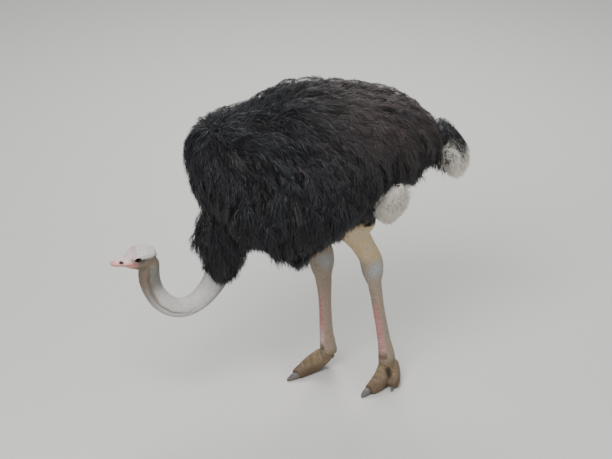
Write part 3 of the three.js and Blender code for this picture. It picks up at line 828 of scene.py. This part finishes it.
# broad fronds over them, each a rounded lobe with its barbs hanging round the end
root, normal = scatter(guide, fronds["spacing"], lambda co: isBlack(co) * (co[:, 2] > 0.72))
length = random.uniform(*fronds["length"], len(root))
bend = unit(np.cross(lie(root, normal), normal)) * random.normal(0, 0.6, (len(root), 1))
layer = random.uniform(0.003, 0.020, len(root))
grown = growPlumes(root, normal, outerTree, length, layer, bend, fronds)
tint = np.zeros((len(root), 3))
tint[:, 0] = smoothStep(root[:, 1], -0.16, 0.30) * smoothStep(root[:, 2], 1.10, 1.30)
tint[:, 0] += (random.random(len(root)) < 0.06) * 0.35
# the fronds lie on top of the coat and take a paler tone than the plumes beneath: painted highlight, with random
# spread
tint[:, 2] = random.normal(0.62, 0.25, len(root))
coatPieces += plumePieces("fronds", np.argsort(root[:, 1]), grown, outerTree, root, tint, fronds)
print("plumes", [len(piece.data.polygons) for piece in coatPieces])

# white plumes of the tail and the wing tips
whiteCoat = {**coat, "strand": (0.05, 0.08), "width": 0.0015, "droop": 1.1, "stray": (0.002, 0.014)}
whitePlumes = {"tail": {"spacing": 0.0105, "length": (0.09, 0.15), "layer": (0.0, 0.012)},
               "wing_plumes_left": {"spacing": 0.0095, "length": (0.09, 0.14), "layer": (0.0, 0.010)},
               "wing_plumes_right": {"spacing": 0.0095, "length": (0.09, 0.14), "layer": (0.0, 0.010)}}


def behindRump(co):
    # grows towards the white end of the tail, across the slant where the black of the back ends
    return co[:, 1] - 1.2 * (co[:, 2] - 1.09)


whitePieces = []
for name, settings in whitePlumes.items():
    tree = treeOfNodes(name)
    root, normal = scatter(stubGuides[name], settings["spacing"])
    length = random.uniform(*settings["length"], len(root))
    layer = random.uniform(*settings["layer"], len(root))
    grown = growPlumes(root, normal, tree, length, layer, np.zeros_like(root), whiteCoat, lieWhite)
    tint = np.zeros((len(root), 3))
    tint[:, 1] = 1
    if name == "tail":
        tint[:, 1] = behindRump(root) + random.normal(0, 0.006, len(root)) > 0.662
    tint[:, 2] = np.clip(random.normal(0.7, 0.2, len(root)), 0, 1)
    whitePieces.append(growStrands(f"plumes_{name}", *grown, tree, tint, unwrap(root), whiteCoat))
    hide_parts(name)
# black ones from the rump fall over the root of the tail
overTail = {**coat, "strand": (0.045, 0.075), "droop": 1.1, "stray": (0.006, 0.030),
            "count": 90, "length": (0.10, 0.16), "from": ((-0.085, 0.085), (0.600, 0.690), (1.06, 1.15))}
count = overTail["count"]
root = np.stack([random.uniform(*limits, count) for limits in overTail["from"]], 1)
root, normal, _ = nearestOn(skinTree, root)
tree = treeOfNodes("trunk", "tail")
length, layer = random.uniform(*overTail["length"], count), random.uniform(-0.008, 0.004, count)
grown = growPlumes(root, normal, tree, length, layer, np.zeros_like(root), overTail, lieWhite)
tint = np.zeros((count, 3))
tint[:, 2] = random.normal(0.35, 0.15, count)
coatPieces.append(growStrands("plumes_over_tail", *grown, tree, tint, unwrap(root), overTail))
print("white plumes", [len(piece.data.polygons) for piece in whitePieces])


# helpers for materials
def toLinear(code, alpha=1):
    # an sRGB hex colour as linear light
    parts = [int(code[i:i + 2], 16) / 255 for i in (1, 3, 5)]
    return (*[c / 12.92 if c <= 0.04045 else ((c + 0.055) / 1.055) ** 2.4 for c in parts], alpha)


def newMaterial(name, inputs):
    material = bpy.data.materials.new(name)
    material.use_nodes = True
    shader = material.node_tree.nodes["Principled BSDF"]
    for socket, value in inputs.items():
        shader.inputs[socket].default_value = value
    return material, shader


def addNode(material, kind, inputs=(), **settings):
    # adds a node; inputs holds (socket, value or output to link) pairs
    node = material.node_tree.nodes.new(kind)
    for name, value in settings.items():
        setattr(node, name, value)
    for socket, value in inputs:
        if isinstance(value, bpy.types.NodeSocket):
            material.node_tree.links.new(value, node.inputs[socket])
        else:
            node.inputs[socket].default_value = value
    return node


# ostrich plumes: unhooked keratin strands, near black, mixed towards a grey that is painted gleam, rusty where
# the sun bleached them
plumeColors = {"black": "#050507", "greyToneAndPaintedGleam": "#222228", "rust": "#433936", "white": "#f7f4ee",
               "soiled": "#dad2be"}
plume, plumeShader = newMaterial("ostrich_plume", {"Roughness": 0.52, "IOR": 1.45, "Sheen Weight": 0.12,
                                                   "Sheen Roughness": 0.4})
plumeTint = addNode(plume, "ShaderNodeAttribute", attribute_name="tint")
shares = addNode(plume, "ShaderNodeSeparateColor", [(0, plumeTint.outputs["Color"])])
shades = {name: toLinear(code) for name, code in plumeColors.items()}
# the tone share mixes black towards the grey of painted gleam
for name, share, low, high in (("dark", 2, "black", "greyToneAndPaintedGleam"), ("bleached", 0, "dark", "rust"),
                               ("pale", 2, "soiled", "white"), ("either", 1, "bleached", "pale")):
    mix = addNode(plume, "ShaderNodeMix", [(0, shares.outputs[share]), (6, shades[low]), (7, shades[high])],
                  data_type="RGBA")
    shades[name] = mix.outputs[2]
plume.node_tree.links.new(shades["either"], plumeShader.inputs["Base Color"])
for piece in coatPieces:
    piece.data.materials.append(plume)
    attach(piece, "root")

for piece in whitePieces:
    piece.data.materials.append(plume)
    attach(piece, "root")

# markings, shared by skin and coat
hues = {"under": "#141417", "white": "#e9e4da",  # skin below black and white plumes
        # the nape and throat hues hold painted shade as well as their own grey and brown
        "down": "#c9c4be", "crown": "#e0dbd7", "napeAndPaintedShade": "#66655c", "throatAndPaintedShade": "#6c5a4a", "creaseShade": "#5a554f",
        "neckShade": "#83888b", "neckFoot": "#8a7a5c",
        "cheek": "#7a6d5a", "eyeSkin": "#2c2a2b", "brow": "#dcd6d2",
        "bill": "#dc9f9b", "billRidge": "#f0dfdb", "gape": "#c4496a", "jaw": "#b08068", "nostril": "#4a1e1c",
        # the foot and toe hues are darkened with painted shade
        "thigh": "#bba37a", "thighPale": "#bdae93", "hock": "#9ba2a6", "shank": "#968775", "scute": "#b3807a",
        "scutePale": "#c4b4aa", "foot": "#75624d", "toe": "#58462f", "hollow": "#241912", "toePlate": "#8a7559"}
hues = {name: np.array(toLinear(code)[:3]) for name, code in hues.items()}


def hollowShadeShare(co):
    # painted shade in the hollow between the two toes of each foot
    hollows = [np.linalg.norm((co - middle) / (1, 1, 1.7), axis=1) for middle in ((0.163, 0.396, 0.070),
                                                                                 (-0.124, 0.154, 0.070))]
    return fadeOut(np.minimum(*hollows), 0.010, 0.027) * 0.93


def markings(co, no):
    # colour of the skin or of the short coat at each point
    colour = np.tile(hues["down"], (len(co), 1))

    def lay(name, share):
        nonlocal colour
        share = np.clip(share, 0, 1)[:, None]
        colour = colour * (1 - share) + hues[name] * share

    x, y, z = co.T
    out, along, up = headSpace(co)
    length, angle = neckSpace(co)
    uneven = 0.5 + 0.5 * np.sin(x * 90 + 1.3 * np.sin(z * 61) + y * 47)
    # neck: pale in its bend, greyer up the nape, brown down the throat; nape and throat are darkened towards the
    # head with painted shade
    lay("neckShade", fadeOut(length, 0.07, 0.20) * 0.6 + 0.5 * smoothStep(-angle, 0.5, 1.1))
    lay("napeAndPaintedShade", smoothStep(length, 0.40, 0.51) * 0.92 * smoothStep(angle, -0.7, -0.1))
    lay("throatAndPaintedShade", smoothStep(length, 0.34, 0.53) * 0.95 * smoothStep(-angle, -0.1, 0.4))
    lay("creaseShade", smoothStep(length, 0.22, 0.34) * bump(np.abs(besidePipe(length, angle)), 0.30) * 0.6)
    lay("neckFoot", fadeOut(length, 0.055, 0.085) * 0.7 * uneven)
    # head
    onHead = smoothStep(-y, 0.555, 0.585) * smoothStep(z, 0.725, 0.745)
    lay("cheek", onHead * 0.75)
    lay("crown", onHead * smoothStep(up - 0.025 - 0.10 * np.clip(along - 0.12, 0, 1), 0, 0.012))
    lay("brow", onHead * bump(awayFrom(along, up, (0.110, 0.038), 1.5), 0.018))
    lay("eyeSkin", onHead * 0.95 * bump(awayFrom(along, up, (0.130, 0.018), 1.5), 0.026) * (out > 0.01))
    lay("cheek", onHead * 0.5 * bump(awayFrom(along, up, (0.162, 0.003)), 0.022))
    # bill
    billShare = fadeOut(along, 0.070, 0.100) * (1 - smoothStep(up - 0.012, 0.015, 0.022))
    billShare = onHead * np.maximum(billShare, fadeOut(along, 0.060, 0.085))
    lay("bill", billShare)
    lay("billRidge", billShare * smoothStep(up - 0.5 * np.clip(0.04 - along, 0, 1), -0.002, 0.012) * 0.85)
    lay("crown", onHead * smoothStep(along, 0.055, 0.075) * smoothStep(up, 0.016, 0.026) * 0.8)
    overMouth = up - mouthHeight(along)
    beforeCorner = onHead * fadeOut(along, 0.108, 0.118)
    lay("jaw", onHead * smoothStep(-overMouth, 0, 0.003) * fadeOut(along, 0.09, 0.118))
    lay("gape", beforeCorner * bump(np.abs(overMouth), 0.0055) * smoothStep(along, 0.060, 0.092))
    lay("bill", beforeCorner * 0.3)
    # the dark nostril is painted shade in its opening
    lay("nostril", onHead * fadeOut(awayFrom(along, up, face["nostril"], 1.9), 0.0030, 0.0072))
    # legs
    for hand, (hip, hock, _) in legAxes.items():
        mine = (x * hand > 0) * (y > -0.15)
        bare = mine * fadeOut(z, 0.84, 0.86)
        lay("thigh", bare)
        lay("thighPale", bare * uneven * 0.5)
        lay("shank", mine * fadeOut(z, 0.58, 0.66))
        lay("hock", mine * bump(np.hypot(z - 0.575, (y - hock[1]) * 1.2), 0.075) * (0.75 + 0.2 * uneven))
        front = mine * smoothStep(-no[:, 1], 0.25, 0.6)
        lay("scute", front * fadeOut(z, 0.36, 0.47) * smoothStep(z, 0.10, 0.15) * 0.8)
        # painted shade: the foot and toe browns are darkened as in the body's shadow, most near the ground
        lay("foot", mine * fadeOut(z, 0.085, 0.125))
        lay("toe", mine * fadeOut(z, 0.030, 0.060) * (0.5 + 0.4 * uneven))
    # painted shade in the hollow between the toes
    lay("hollow", hollowShadeShare(co))
    # black under the plumes, except on the thighs
    plumed = smoothStep(z, 0.700, 0.735) * smoothStep(y, -0.56, -0.52)
    plumed = np.maximum(plumed, fadeOut(length, 0.030, 0.050) * (y > -0.40) * (z > 0.60))
    for hip, hock, _ in legAxes.values():
        hip, thigh = np.array(hip), np.array(hock) - np.array(hip)
        share = np.clip((co - hip) @ thigh / (thigh @ thigh), 0, 1)[:, None]
        away = np.linalg.norm(co - hip - thigh * share, axis=1)
        plumed = plumed * (1 - fadeOut(away, 0.100, 0.115) * fadeOut(z, 0.84, 0.86))
    lay("under", plumed)
    for name in stubs:
        share = smoothStep(behindRump(co), 0.672, 0.690) if name == "tail" else 1.0
        lay("white", inBox(co, name, 0.02) * share)
    return colour


# bare ostrich skin: fine pebbled grain, 3.5 mm across and so a little coarse, with a dull wax-like gleam
paintPoints(skin.data, markings(points(skin), pointNormals(skin)))
hide, hideShader = newMaterial("ostrich_skin", {
    "Roughness": 0.55, "IOR": 1.42, "Subsurface Weight": 0.08, "Subsurface Radius": (0.010, 0.004, 0.002),
    "Subsurface Scale": 0.3})
hideTint = addNode(hide, "ShaderNodeAttribute", attribute_name="tint")
hidePlace = addNode(hide, "ShaderNodeTexCoord")
mottle = addNode(hide, "ShaderNodeTexNoise", [("Vector", hidePlace.outputs["Object"]), ("Scale", 1000 / 9),
                                              ("Detail", 3.0)])
mottleShare = addNode(hide, "ShaderNodeMapRange", [(0, mottle.outputs[0]), (1, 0.3), (2, 0.7), (3, 0.84),
                                                   (4, 1.12)])
mottled = addNode(hide, "ShaderNodeVectorMath", [(0, hideTint.outputs["Color"]), (3, mottleShare.outputs[0])],
                  operation="SCALE")
hide.node_tree.links.new(mottled.outputs[0], hideShader.inputs["Base Color"])
grain = addNode(hide, "ShaderNodeTexVoronoi", [("Vector", hidePlace.outputs["Object"]),
                                               ("Scale", 1000 / 3.5)])
grainBump = addNode(hide, "ShaderNodeBump", [("Height", grain.outputs["Distance"]), ("Strength", 0.35),
                                             ("Distance", 0.0008)])
hide.node_tree.links.new(grainBump.outputs[0], hideShader.inputs["Normal"])
skin.data.materials.clear()
skin.data.materials.append(hide)
skin.data.polygons.foreach_set("material_index", np.zeros(len(skin.data.polygons), np.int32))

# short down of the head and neck: small tufts of a few thin blades
down = {"blades": 4, "width": 0.0007,
        "neck": {"spacing": 0.0052, "length": (0.0050, 0.0090), "lift": 0.22},
        "head": {"spacing": 0.0034, "length": (0.0035, 0.0065), "lift": 0.42}}


def unwrapNeck(place):
    # along the neck and round it, beside the body's part of the unwrap
    length, angle = neckSpace(place)
    turn = np.where(place[:, 0] > 0, angle, math.pi - angle) / (2 * math.pi) % 1
    return np.stack([0.02 + 0.96 * turn, 0.02 + 0.20 * np.clip(length / 0.9, 0, 1)], axis=1)


def growTufts(name, root, normal, way, length, lift, tint):
    count, blades = len(root), down["blades"]
    way = way[:, None] + random.normal(0, 0.28, (count, blades, 3))
    way = unit(way - dot(way, normal[:, None]) * normal[:, None])
    outwards = np.repeat(normal[:, None], blades, 1)
    side = unit(np.cross(way, outwards))
    long = (length[:, None] * random.uniform(0.75, 1.2, (count, blades)))[..., None]
    wide = side * (down["width"] * random.uniform(0.8, 1.3, (count, blades, 1)))
    raised = outwards * (lift * random.uniform(0.7, 1.4, (count, blades, 1)))
    base = root[:, None] - outwards * 0.0006 + side * random.normal(0, 0.0009, (count, blades, 1))
    middle = base + unit(way + raised * 1.5) * long * 0.5
    tip = middle + unit(way + raised * 0.5) * long * 0.5
    co = np.stack([base - wide, base + wide, middle + wide * 0.75, middle - wide * 0.75, tip], axis=2)
    start = (np.arange(count * blades) * 5)[:, None]
    patch = np.stack(np.broadcast_arrays(((np.arange(blades) + 0.5) / blades - 0.5)[None, :, None],
                                         np.array([-.5, -.5, 0, 0, .5])[None, None]), -1)
    colour = tint[:, None, None] * random.uniform(0.82, 1.15, (count, blades, 1, 1)) * np.ones((1, 1, 5, 1))
    patch = (unwrapNeck(root)[:, None, None] + patch * patchSize).reshape(-1, 2)
    blade = [start + np.array([[0, 1, 2, 3]]), start + np.array([[3, 2, 4]])]
    return joinedMesh(name, co.reshape(-1, 3), blade, patch, colour.reshape(-1, 3))


def isHead(co):
    _, along, up = headSpace(co)
    share = smoothStep(0.172 - along - 0.4 * np.clip(-up, 0, 1), 0, 0.02) * smoothStep(up, -0.045, -0.030)
    return share + smoothStep(up, 0.0, 0.02) * smoothStep(0.25 - along, 0, 0.02) > 0.5


def isBare(co):
    # the bill, the lids, the ear's opening and the corner of the mouth
    out, along, up = headSpace(co)
    lids = (awayFrom(along, up, face["eye"]) < 0.019) & (out > 0.02)
    earHole = (awayFrom(along, up, face["ear"]) < 0.0065) & (out > 0.02)
    return (along < 0.092) | lids | earHole | (np.abs(up - mouthHeight(along)) < 0.005) & (along < 0.118)


root, normal = scatter(neckGuide, down["neck"]["spacing"], lambda co: 1.0 * ~isHead(co))
way = np.concatenate([np.zeros((len(root), 1)), -heading[neckStep(root)]], axis=1)
length = random.uniform(*down["neck"]["length"], len(root))
tint = markings(root, normal)
downPieces = [growTufts("down_neck", root, normal, way, length, down["neck"]["lift"], tint)]
root, normal = scatter(neckGuide, down["head"]["spacing"], lambda co: 1.0 * isHead(co))
feathered = ~isBare(root)
root, normal = root[feathered], normal[feathered]
way = np.array([0, 1.0, -0.25]) + np.zeros_like(root)
length = random.uniform(*down["head"]["length"], len(root))
length = length * (1 + 0.6 * smoothStep(root[:, 2] - billTip.z, 0.025, 0.045))  # longest on the crown
tint = markings(root, normal)
downPieces.append(growTufts("down_head", root, normal, way, length, down["head"]["lift"], tint))
print("down", [len(piece.data.polygons) for piece in downPieces])
# down: short soft barbs, matt, with a pale sheen at the edges
downSoft, downShader = newMaterial("ostrich_down", {"Roughness": 0.75, "IOR": 1.5, "Sheen Weight": 0.25})
downTint = addNode(downSoft, "ShaderNodeAttribute", attribute_name="tint")
downSoft.node_tree.links.new(downTint.outputs["Color"], downShader.inputs["Base Color"])
for piece in downPieces:
    piece.data.materials.append(downSoft)
    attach(piece, "root")

# eyes: dark brown iris round a wide pupil, under a clear wet cornea; the brown shows only as a ring
eyeball = {"radius": 0.0196, "cornea": 0.0012, "pupil": 0.0062, "iris": 0.0150, "look": (0.95, -0.26, 0.10)}
iris, irisShader = newMaterial("eye_cornea_over_iris", {"Roughness": 0.05, "IOR": 1.34,
                                                        "Specular IOR Level": 0.25})
ringNode = addNode(iris, "ShaderNodeAttribute", attribute_name="ring")
ramp = addNode(iris, "ShaderNodeValToRGB", [(0, ringNode.outputs["Fac"])])
stops = [(0, "#030303"), (eyeball["pupil"] / eyeball["radius"], "#050404"), (0.40, "#1a0f09"),
         (0.62, "#28180e"), (eyeball["iris"] / eyeball["radius"], "#140d09"), (0.86, "#0c0a09"), (1.0, "#3a322e")]
while len(ramp.color_ramp.elements) < len(stops):
    ramp.color_ramp.elements.new(0.5)
for element, (at, code) in zip(ramp.color_ramp.elements, stops):
    element.position, element.color = at, toLinear(code)
iris.node_tree.links.new(ramp.outputs[0], irisShader.inputs["Base Color"])
for name, hand in sides.items():
    bpy.ops.mesh.primitive_uv_sphere_add(segments=48, ring_count=32, radius=eyeball["radius"])
    ball = bpy.context.object
    ball.name = ball.data.name = f"eyeball_{name}"
    co = points(ball)
    rise = smoothStep(co[:, 2] / eyeball["radius"], 0.60, 0.86)
    co = co * (1 + rise * eyeball["cornea"] / eyeball["radius"])[:, None]
    ring = np.hypot(co[:, 0], co[:, 1]) + (co[:, 2] < 0) * 0.1
    look = Vector((eyeball["look"][0] * hand, *eyeball["look"][1:])).normalized()
    turn = np.array(look.to_track_quat("Z", "Y").to_matrix())
    movePoints(ball, co @ turn.T + eyeMiddle(hand))
    rings = ball.data.attributes.new("ring", "FLOAT", "POINT")
    rings.data.foreach_set("value", (ring / eyeball["radius"]).astype(np.float32))
    shadeSmooth(ball)
    ball.data.materials.append(iris)
    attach(ball, "root")
    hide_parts(f"eye_{name}")
print("eyes done")

# claws: blunt horn, worn at the tip, with fine ridges along it
claws = {"swell": 0.0004, "voxel": 0.0014, "rounds": 12, "ridge": 0.0004, "ridges": 1900}
horn, hornShader = newMaterial("claw_horn", {"Roughness": 0.48, "IOR": 1.54})
hornPlace = addNode(horn, "ShaderNodeTexCoord")
hornGrain = addNode(horn, "ShaderNodeTexNoise", [("Vector", hornPlace.outputs["Object"]), ("Scale", 1000 / 6),
                                                 ("Detail", 5.0)])
hornMix = addNode(horn, "ShaderNodeMix", [(0, hornGrain.outputs[0]), (6, toLinear("#3a3735")),
                                          (7, toLinear("#77706a"))], data_type="RGBA")
horn.node_tree.links.new(hornMix.outputs[2], hornShader.inputs["Base Color"])
hornBump = addNode(horn, "ShaderNodeBump", [("Height", hornGrain.outputs[0]), ("Strength", 0.4),
                                            ("Distance", 0.001)])
horn.node_tree.links.new(hornBump.outputs[0], hornShader.inputs["Normal"])
for name in sides:
    for toe in ("main", "outer"):
        claw = copyNodes(f"claw_{toe}_{name}_horn", [f"claw_{toe}_{name}"], claws["swell"])
        addModifier(claw, "REMESH", mode="VOXEL", voxel_size=claws["voxel"])
        clawPoints = smoothOut(claw, claws["rounds"])
        outwards = pointNormals(claw)
        ridges = claws["ridge"] * np.sin(clawPoints[:, 0] * claws["ridges"]) * (outwards[:, 2] > -0.5)
        clawPoints = clawPoints + outwards * ridges[:, None]
        clawPoints[:, 2] = np.maximum(clawPoints[:, 2], 0.0)
        movePoints(claw, clawPoints)
        claw.data.materials.append(horn)
        shadeSmooth(claw)
        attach(claw, "root")
        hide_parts(f"claw_{toe}_{name}")
print("claws done")

# scutes: overlapping horny plates down the front of each shank and along the toes
scutes = {"shankTop": 0.47, "shankFoot": 0.105, "height": 0.0105, "overlap": 1.28, "columns": 8,
          "spread": 60, "thick": 0.0019, "toeStep": 0.0095, "toeSpread": 54, "toeThick": 0.0030,
          "rows": ((0.0, -0.5), (0.35, 0.45), (0.75, 0.9), (0.96, 1.0), (1.0, -0.6)),  # how far along, how high
          "shades": (0.45, 0.80, 1.0, 1.22, 0.7),  # painted shade where it is tucked in, painted highlight along its free rim
          "shankMiddle": {"left": (0.092, 0.374, 0.360), "right": (-0.075, 0.192, 0.350)},
          "toesTurned": {"left": 36, "right": 8}, "paler": {"left": 0.2, "right": 0.7},
          # how far a toe splays, and its plates' start, end and height
          "toes": ((0, 0.012, 0.128, 0.020), (30, 0.050, 0.082, 0.018))}
plates, plateColours = [], []


def addPlate(axisAt, front, start, finish, spread, thick, colour):
    # a curved plate laid on the skin, its rim sunk into it; rows run from the tucked edge to the free one
    grid = []
    for share, rise in scutes["rows"]:
        at = start + (finish - start) * share
        axis = axisAt(at)
        along = Vector(axisAt(at + 0.001 * np.sign(finish - start)) - axis).normalized()
        for across in np.linspace(-1, 1, scutes["columns"] + 1).tolist():
            ray = (Vector(front) @ Matrix.Rotation(across * math.radians(spread), 3, along)).normalized()
            hit = skinTree.ray_cast(Vector(axis), ray, 0.08)
            if hit[0] is None:
                return
            edge = min(1.0, (1 - abs(across)) * 3.2)
            grid.append(hit[0] + ray * thick * (rise * edge - 0.5 * (1 - edge)))
    plates.append(np.array(grid))
    # plates near the hollow between the toes take its painted shade
    paintedHollowShade = hollowShadeShare(plates[-1])[:, None]
    # each row darker where tucked under the plate before and paler along its free rim: painted shade and painted
    # highlight
    shaded = np.repeat(np.outer(scutes["shades"], colour), scutes["columns"] + 1, axis=0)
    plateColours.append(shaded * (1 - paintedHollowShade) + hues["hollow"] * paintedHollowShade)


def mixed(one, two, share):
    return one * (1 - share) + two * share


def plateShank(name, hand):
    _, hock, ankle = legAxes[hand]
    xs, ys, zs = np.array([ankle, scutes["shankMiddle"][name], hock]).T
    facing = math.radians(scutes["toesTurned"][name] * 0.9)
    front = (math.sin(facing) * hand, -math.cos(facing), 0)

    def axisAt(height):
        return np.array([np.interp(height, zs, xs), np.interp(height, zs, ys), height])

    for row in range(int((scutes["shankTop"] - scutes["shankFoot"]) / scutes["height"])):
        top = scutes["shankTop"] - row * scutes["height"]
        share = smoothStep(0.44 - top, 0, 0.10)
        colour = mixed(hues["shank"], hues["scute"], share)
        colour = mixed(colour, hues["scutePale"], smoothStep(0.26 - top, 0, 0.08) * scutes["paler"][name])
        colour = mixed(colour, hues["foot"], smoothStep(0.17 - top, 0, 0.04))
        addPlate(axisAt, front, top, top - scutes["height"] * scutes["overlap"],
                 scutes["spread"] * (0.6 + 0.4 * share), scutes["thick"], colour * random.uniform(0.88, 1.12))


def plateToe(name, hand, splay, start, reach, drop):
    bearing = math.radians(scutes["toesTurned"][name] + splay)
    ahead = np.array([math.sin(bearing) * hand, -math.cos(bearing), 0])
    x, y, _ = legAxes[hand][2]

    def axisAt(far):
        return np.array([x, y, drop + 0.030 * (1 - smoothStep(far, 0.0, 0.06))]) + ahead * far

    for row in range(int((reach - start) / scutes["toeStep"])):
        at = start + row * scutes["toeStep"]
        share = row * scutes["toeStep"] / reach
        colour = hues["toePlate"] * (1 - 0.4 * share * (share < 0.8))
        addPlate(axisAt, (0, 0, 1), at + scutes["toeStep"] * scutes["overlap"], at, scutes["toeSpread"],
                 scutes["toeThick"], colour * random.uniform(0.8, 1.2))


for name, hand in sides.items():
    plateShank(name, hand)
    for toe in scutes["toes"]:
        plateToe(name, hand, *toe)
wide, high = scutes["columns"] + 1, len(scutes["rows"])
cells = (np.arange(high - 1) * wide)[:, None] + np.arange(wide - 1)
cells = (np.arange(len(plates)) * wide * high)[:, None] + cells.ravel()
plateFaces = np.stack([cells, cells + 1, cells + wide + 1, cells + wide], axis=-1).reshape(-1, 4)
scutePiece = newPiece("leg_scutes", bpy.data.meshes.new("scutes"))
scutePiece.data.from_pydata(np.concatenate(plates).tolist(), [], plateFaces.tolist())
shadeSmooth(scutePiece)
paintPoints(scutePiece.data, np.concatenate(plateColours))
scutePiece.data.materials.append(hide)
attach(scutePiece, "root")
print("scutes", len(plates))

# small round scales on the rest of the leg, each a low six-sided dome with its rim in the skin
scales = {"spacing": 0.0062, "size": 0.60, "rise": 0.0008, "sunk": 0.0006, "gap": 0.0035,
          "top": 0.56, "floor": 0.006}


def onLegs(co):
    return 1.0 * (co[:, 1] > -0.15) * (co[:, 2] < scales["top"]) * (co[:, 2] > scales["floor"])


root, normal = scatter(skin, scales["spacing"], onLegs)
apart = nearestOn(treeOf(scutePiece), root)[2] > scales["gap"]
root, normal = root[apart], normal[apart]
count = len(root)
sideways = unit(np.cross(normal, (0.3, 0.1, 1.0)))
lengthways = np.cross(normal, sideways)
corner = np.arange(6)
angles = corner / 6 * 2 * math.pi + random.uniform(0, 1, (count, 1))
size = scales["spacing"] * scales["size"] * random.uniform(0.82, 1.12, (count, 1))
size = size * (0.62 + 0.38 * smoothStep(np.abs(root[:, 2] - 0.02), 0, 0.10))[:, None]  # smaller on the toes


def scaleRing(share, rise):
    return (root[:, None] + (np.cos(angles) * size * share)[..., None] * sideways[:, None] +
            (np.sin(angles) * size * share)[..., None] * lengthways[:, None] + normal[:, None] * rise)


domes = np.concatenate([(root + normal * scales["rise"])[:, None], scaleRing(0.62, scales["rise"] * 0.8),
                        scaleRing(1.0, -scales["sunk"])], axis=1)
start = (np.arange(count) * 13)[:, None, None]
inner, nextInner = 1 + corner, 1 + (corner + 1) % 6
caps = start + np.stack([np.zeros(6, int), inner, nextInner], 1)[None]
walls = start + np.stack([inner, inner + 6, nextInner + 6, nextInner], 1)[None]
scaleTint = markings(root, normal) * random.uniform(0.80, 1.12, (count, 1))
scalePiece = joinedMesh("leg_scales", domes.reshape(-1, 3), [caps.reshape(-1, 3), walls.reshape(-1, 4)],
                        np.repeat(unwrap(root), 13, axis=0), np.repeat(scaleTint, 13, axis=0))
scalePiece.data.materials.append(hide)
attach(scalePiece, "root")
print("leg scales", count)

# plain paper floor and soft studio light
stage = {"size": 14, "color": "#d9d7d2", "sky": "#e6ebf2", "skyStrength": 0.45, "aim": (0, 0, 0.8),
         # each lamp's place, power and size
         "lamps": {"key": ((2.6, -2.4, 4.6), 260, 2.6), "fill": ((4.4, 2.8, 2.6), 60, 3.0),
                   "rim": ((-3.2, 1.6, 3.8), 160, 2.4)}}
bpy.ops.mesh.primitive_plane_add(size=stage["size"], location=(0, 0, 0))
floor = bpy.context.object
floor.name = floor.data.name = "floor"
# matt paper
paper, _ = newMaterial("seamless_paper", {"Roughness": 0.9, "IOR": 1.45,
                                          "Base Color": toLinear(stage["color"])})
floor.data.materials.append(paper)
world = bpy.data.worlds.new("studio")
bpy.context.scene.world = world
world.use_nodes = True
sky = world.node_tree.nodes["Background"]
sky.inputs["Color"].default_value = toLinear(stage["sky"])
sky.inputs["Strength"].default_value = stage["skyStrength"]
for name, (place, power, size) in stage["lamps"].items():
    way = Vector(stage["aim"]) - Vector(place)
    bpy.ops.object.light_add(type="AREA", location=place, rotation=way.to_track_quat("-Z", "Y").to_euler())
    lamp = bpy.context.object
    lamp.name = name
    lamp.data.energy, lamp.data.size = power, size
print("floor and light done")

remove(guide, outer, neckGuide, *stubGuides.values())
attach(skin, "root")
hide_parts("trunk", "wing_left", "wing_right", "neck_base", "neck_lower", "neck_upper", "head",
            "bill_upper", "bill_lower", "thigh_left", "thigh_right", "shank_left", "shank_right",
            "toe_main_left", "toe_main_right", "toe_outer_left", "toe_outer_right")
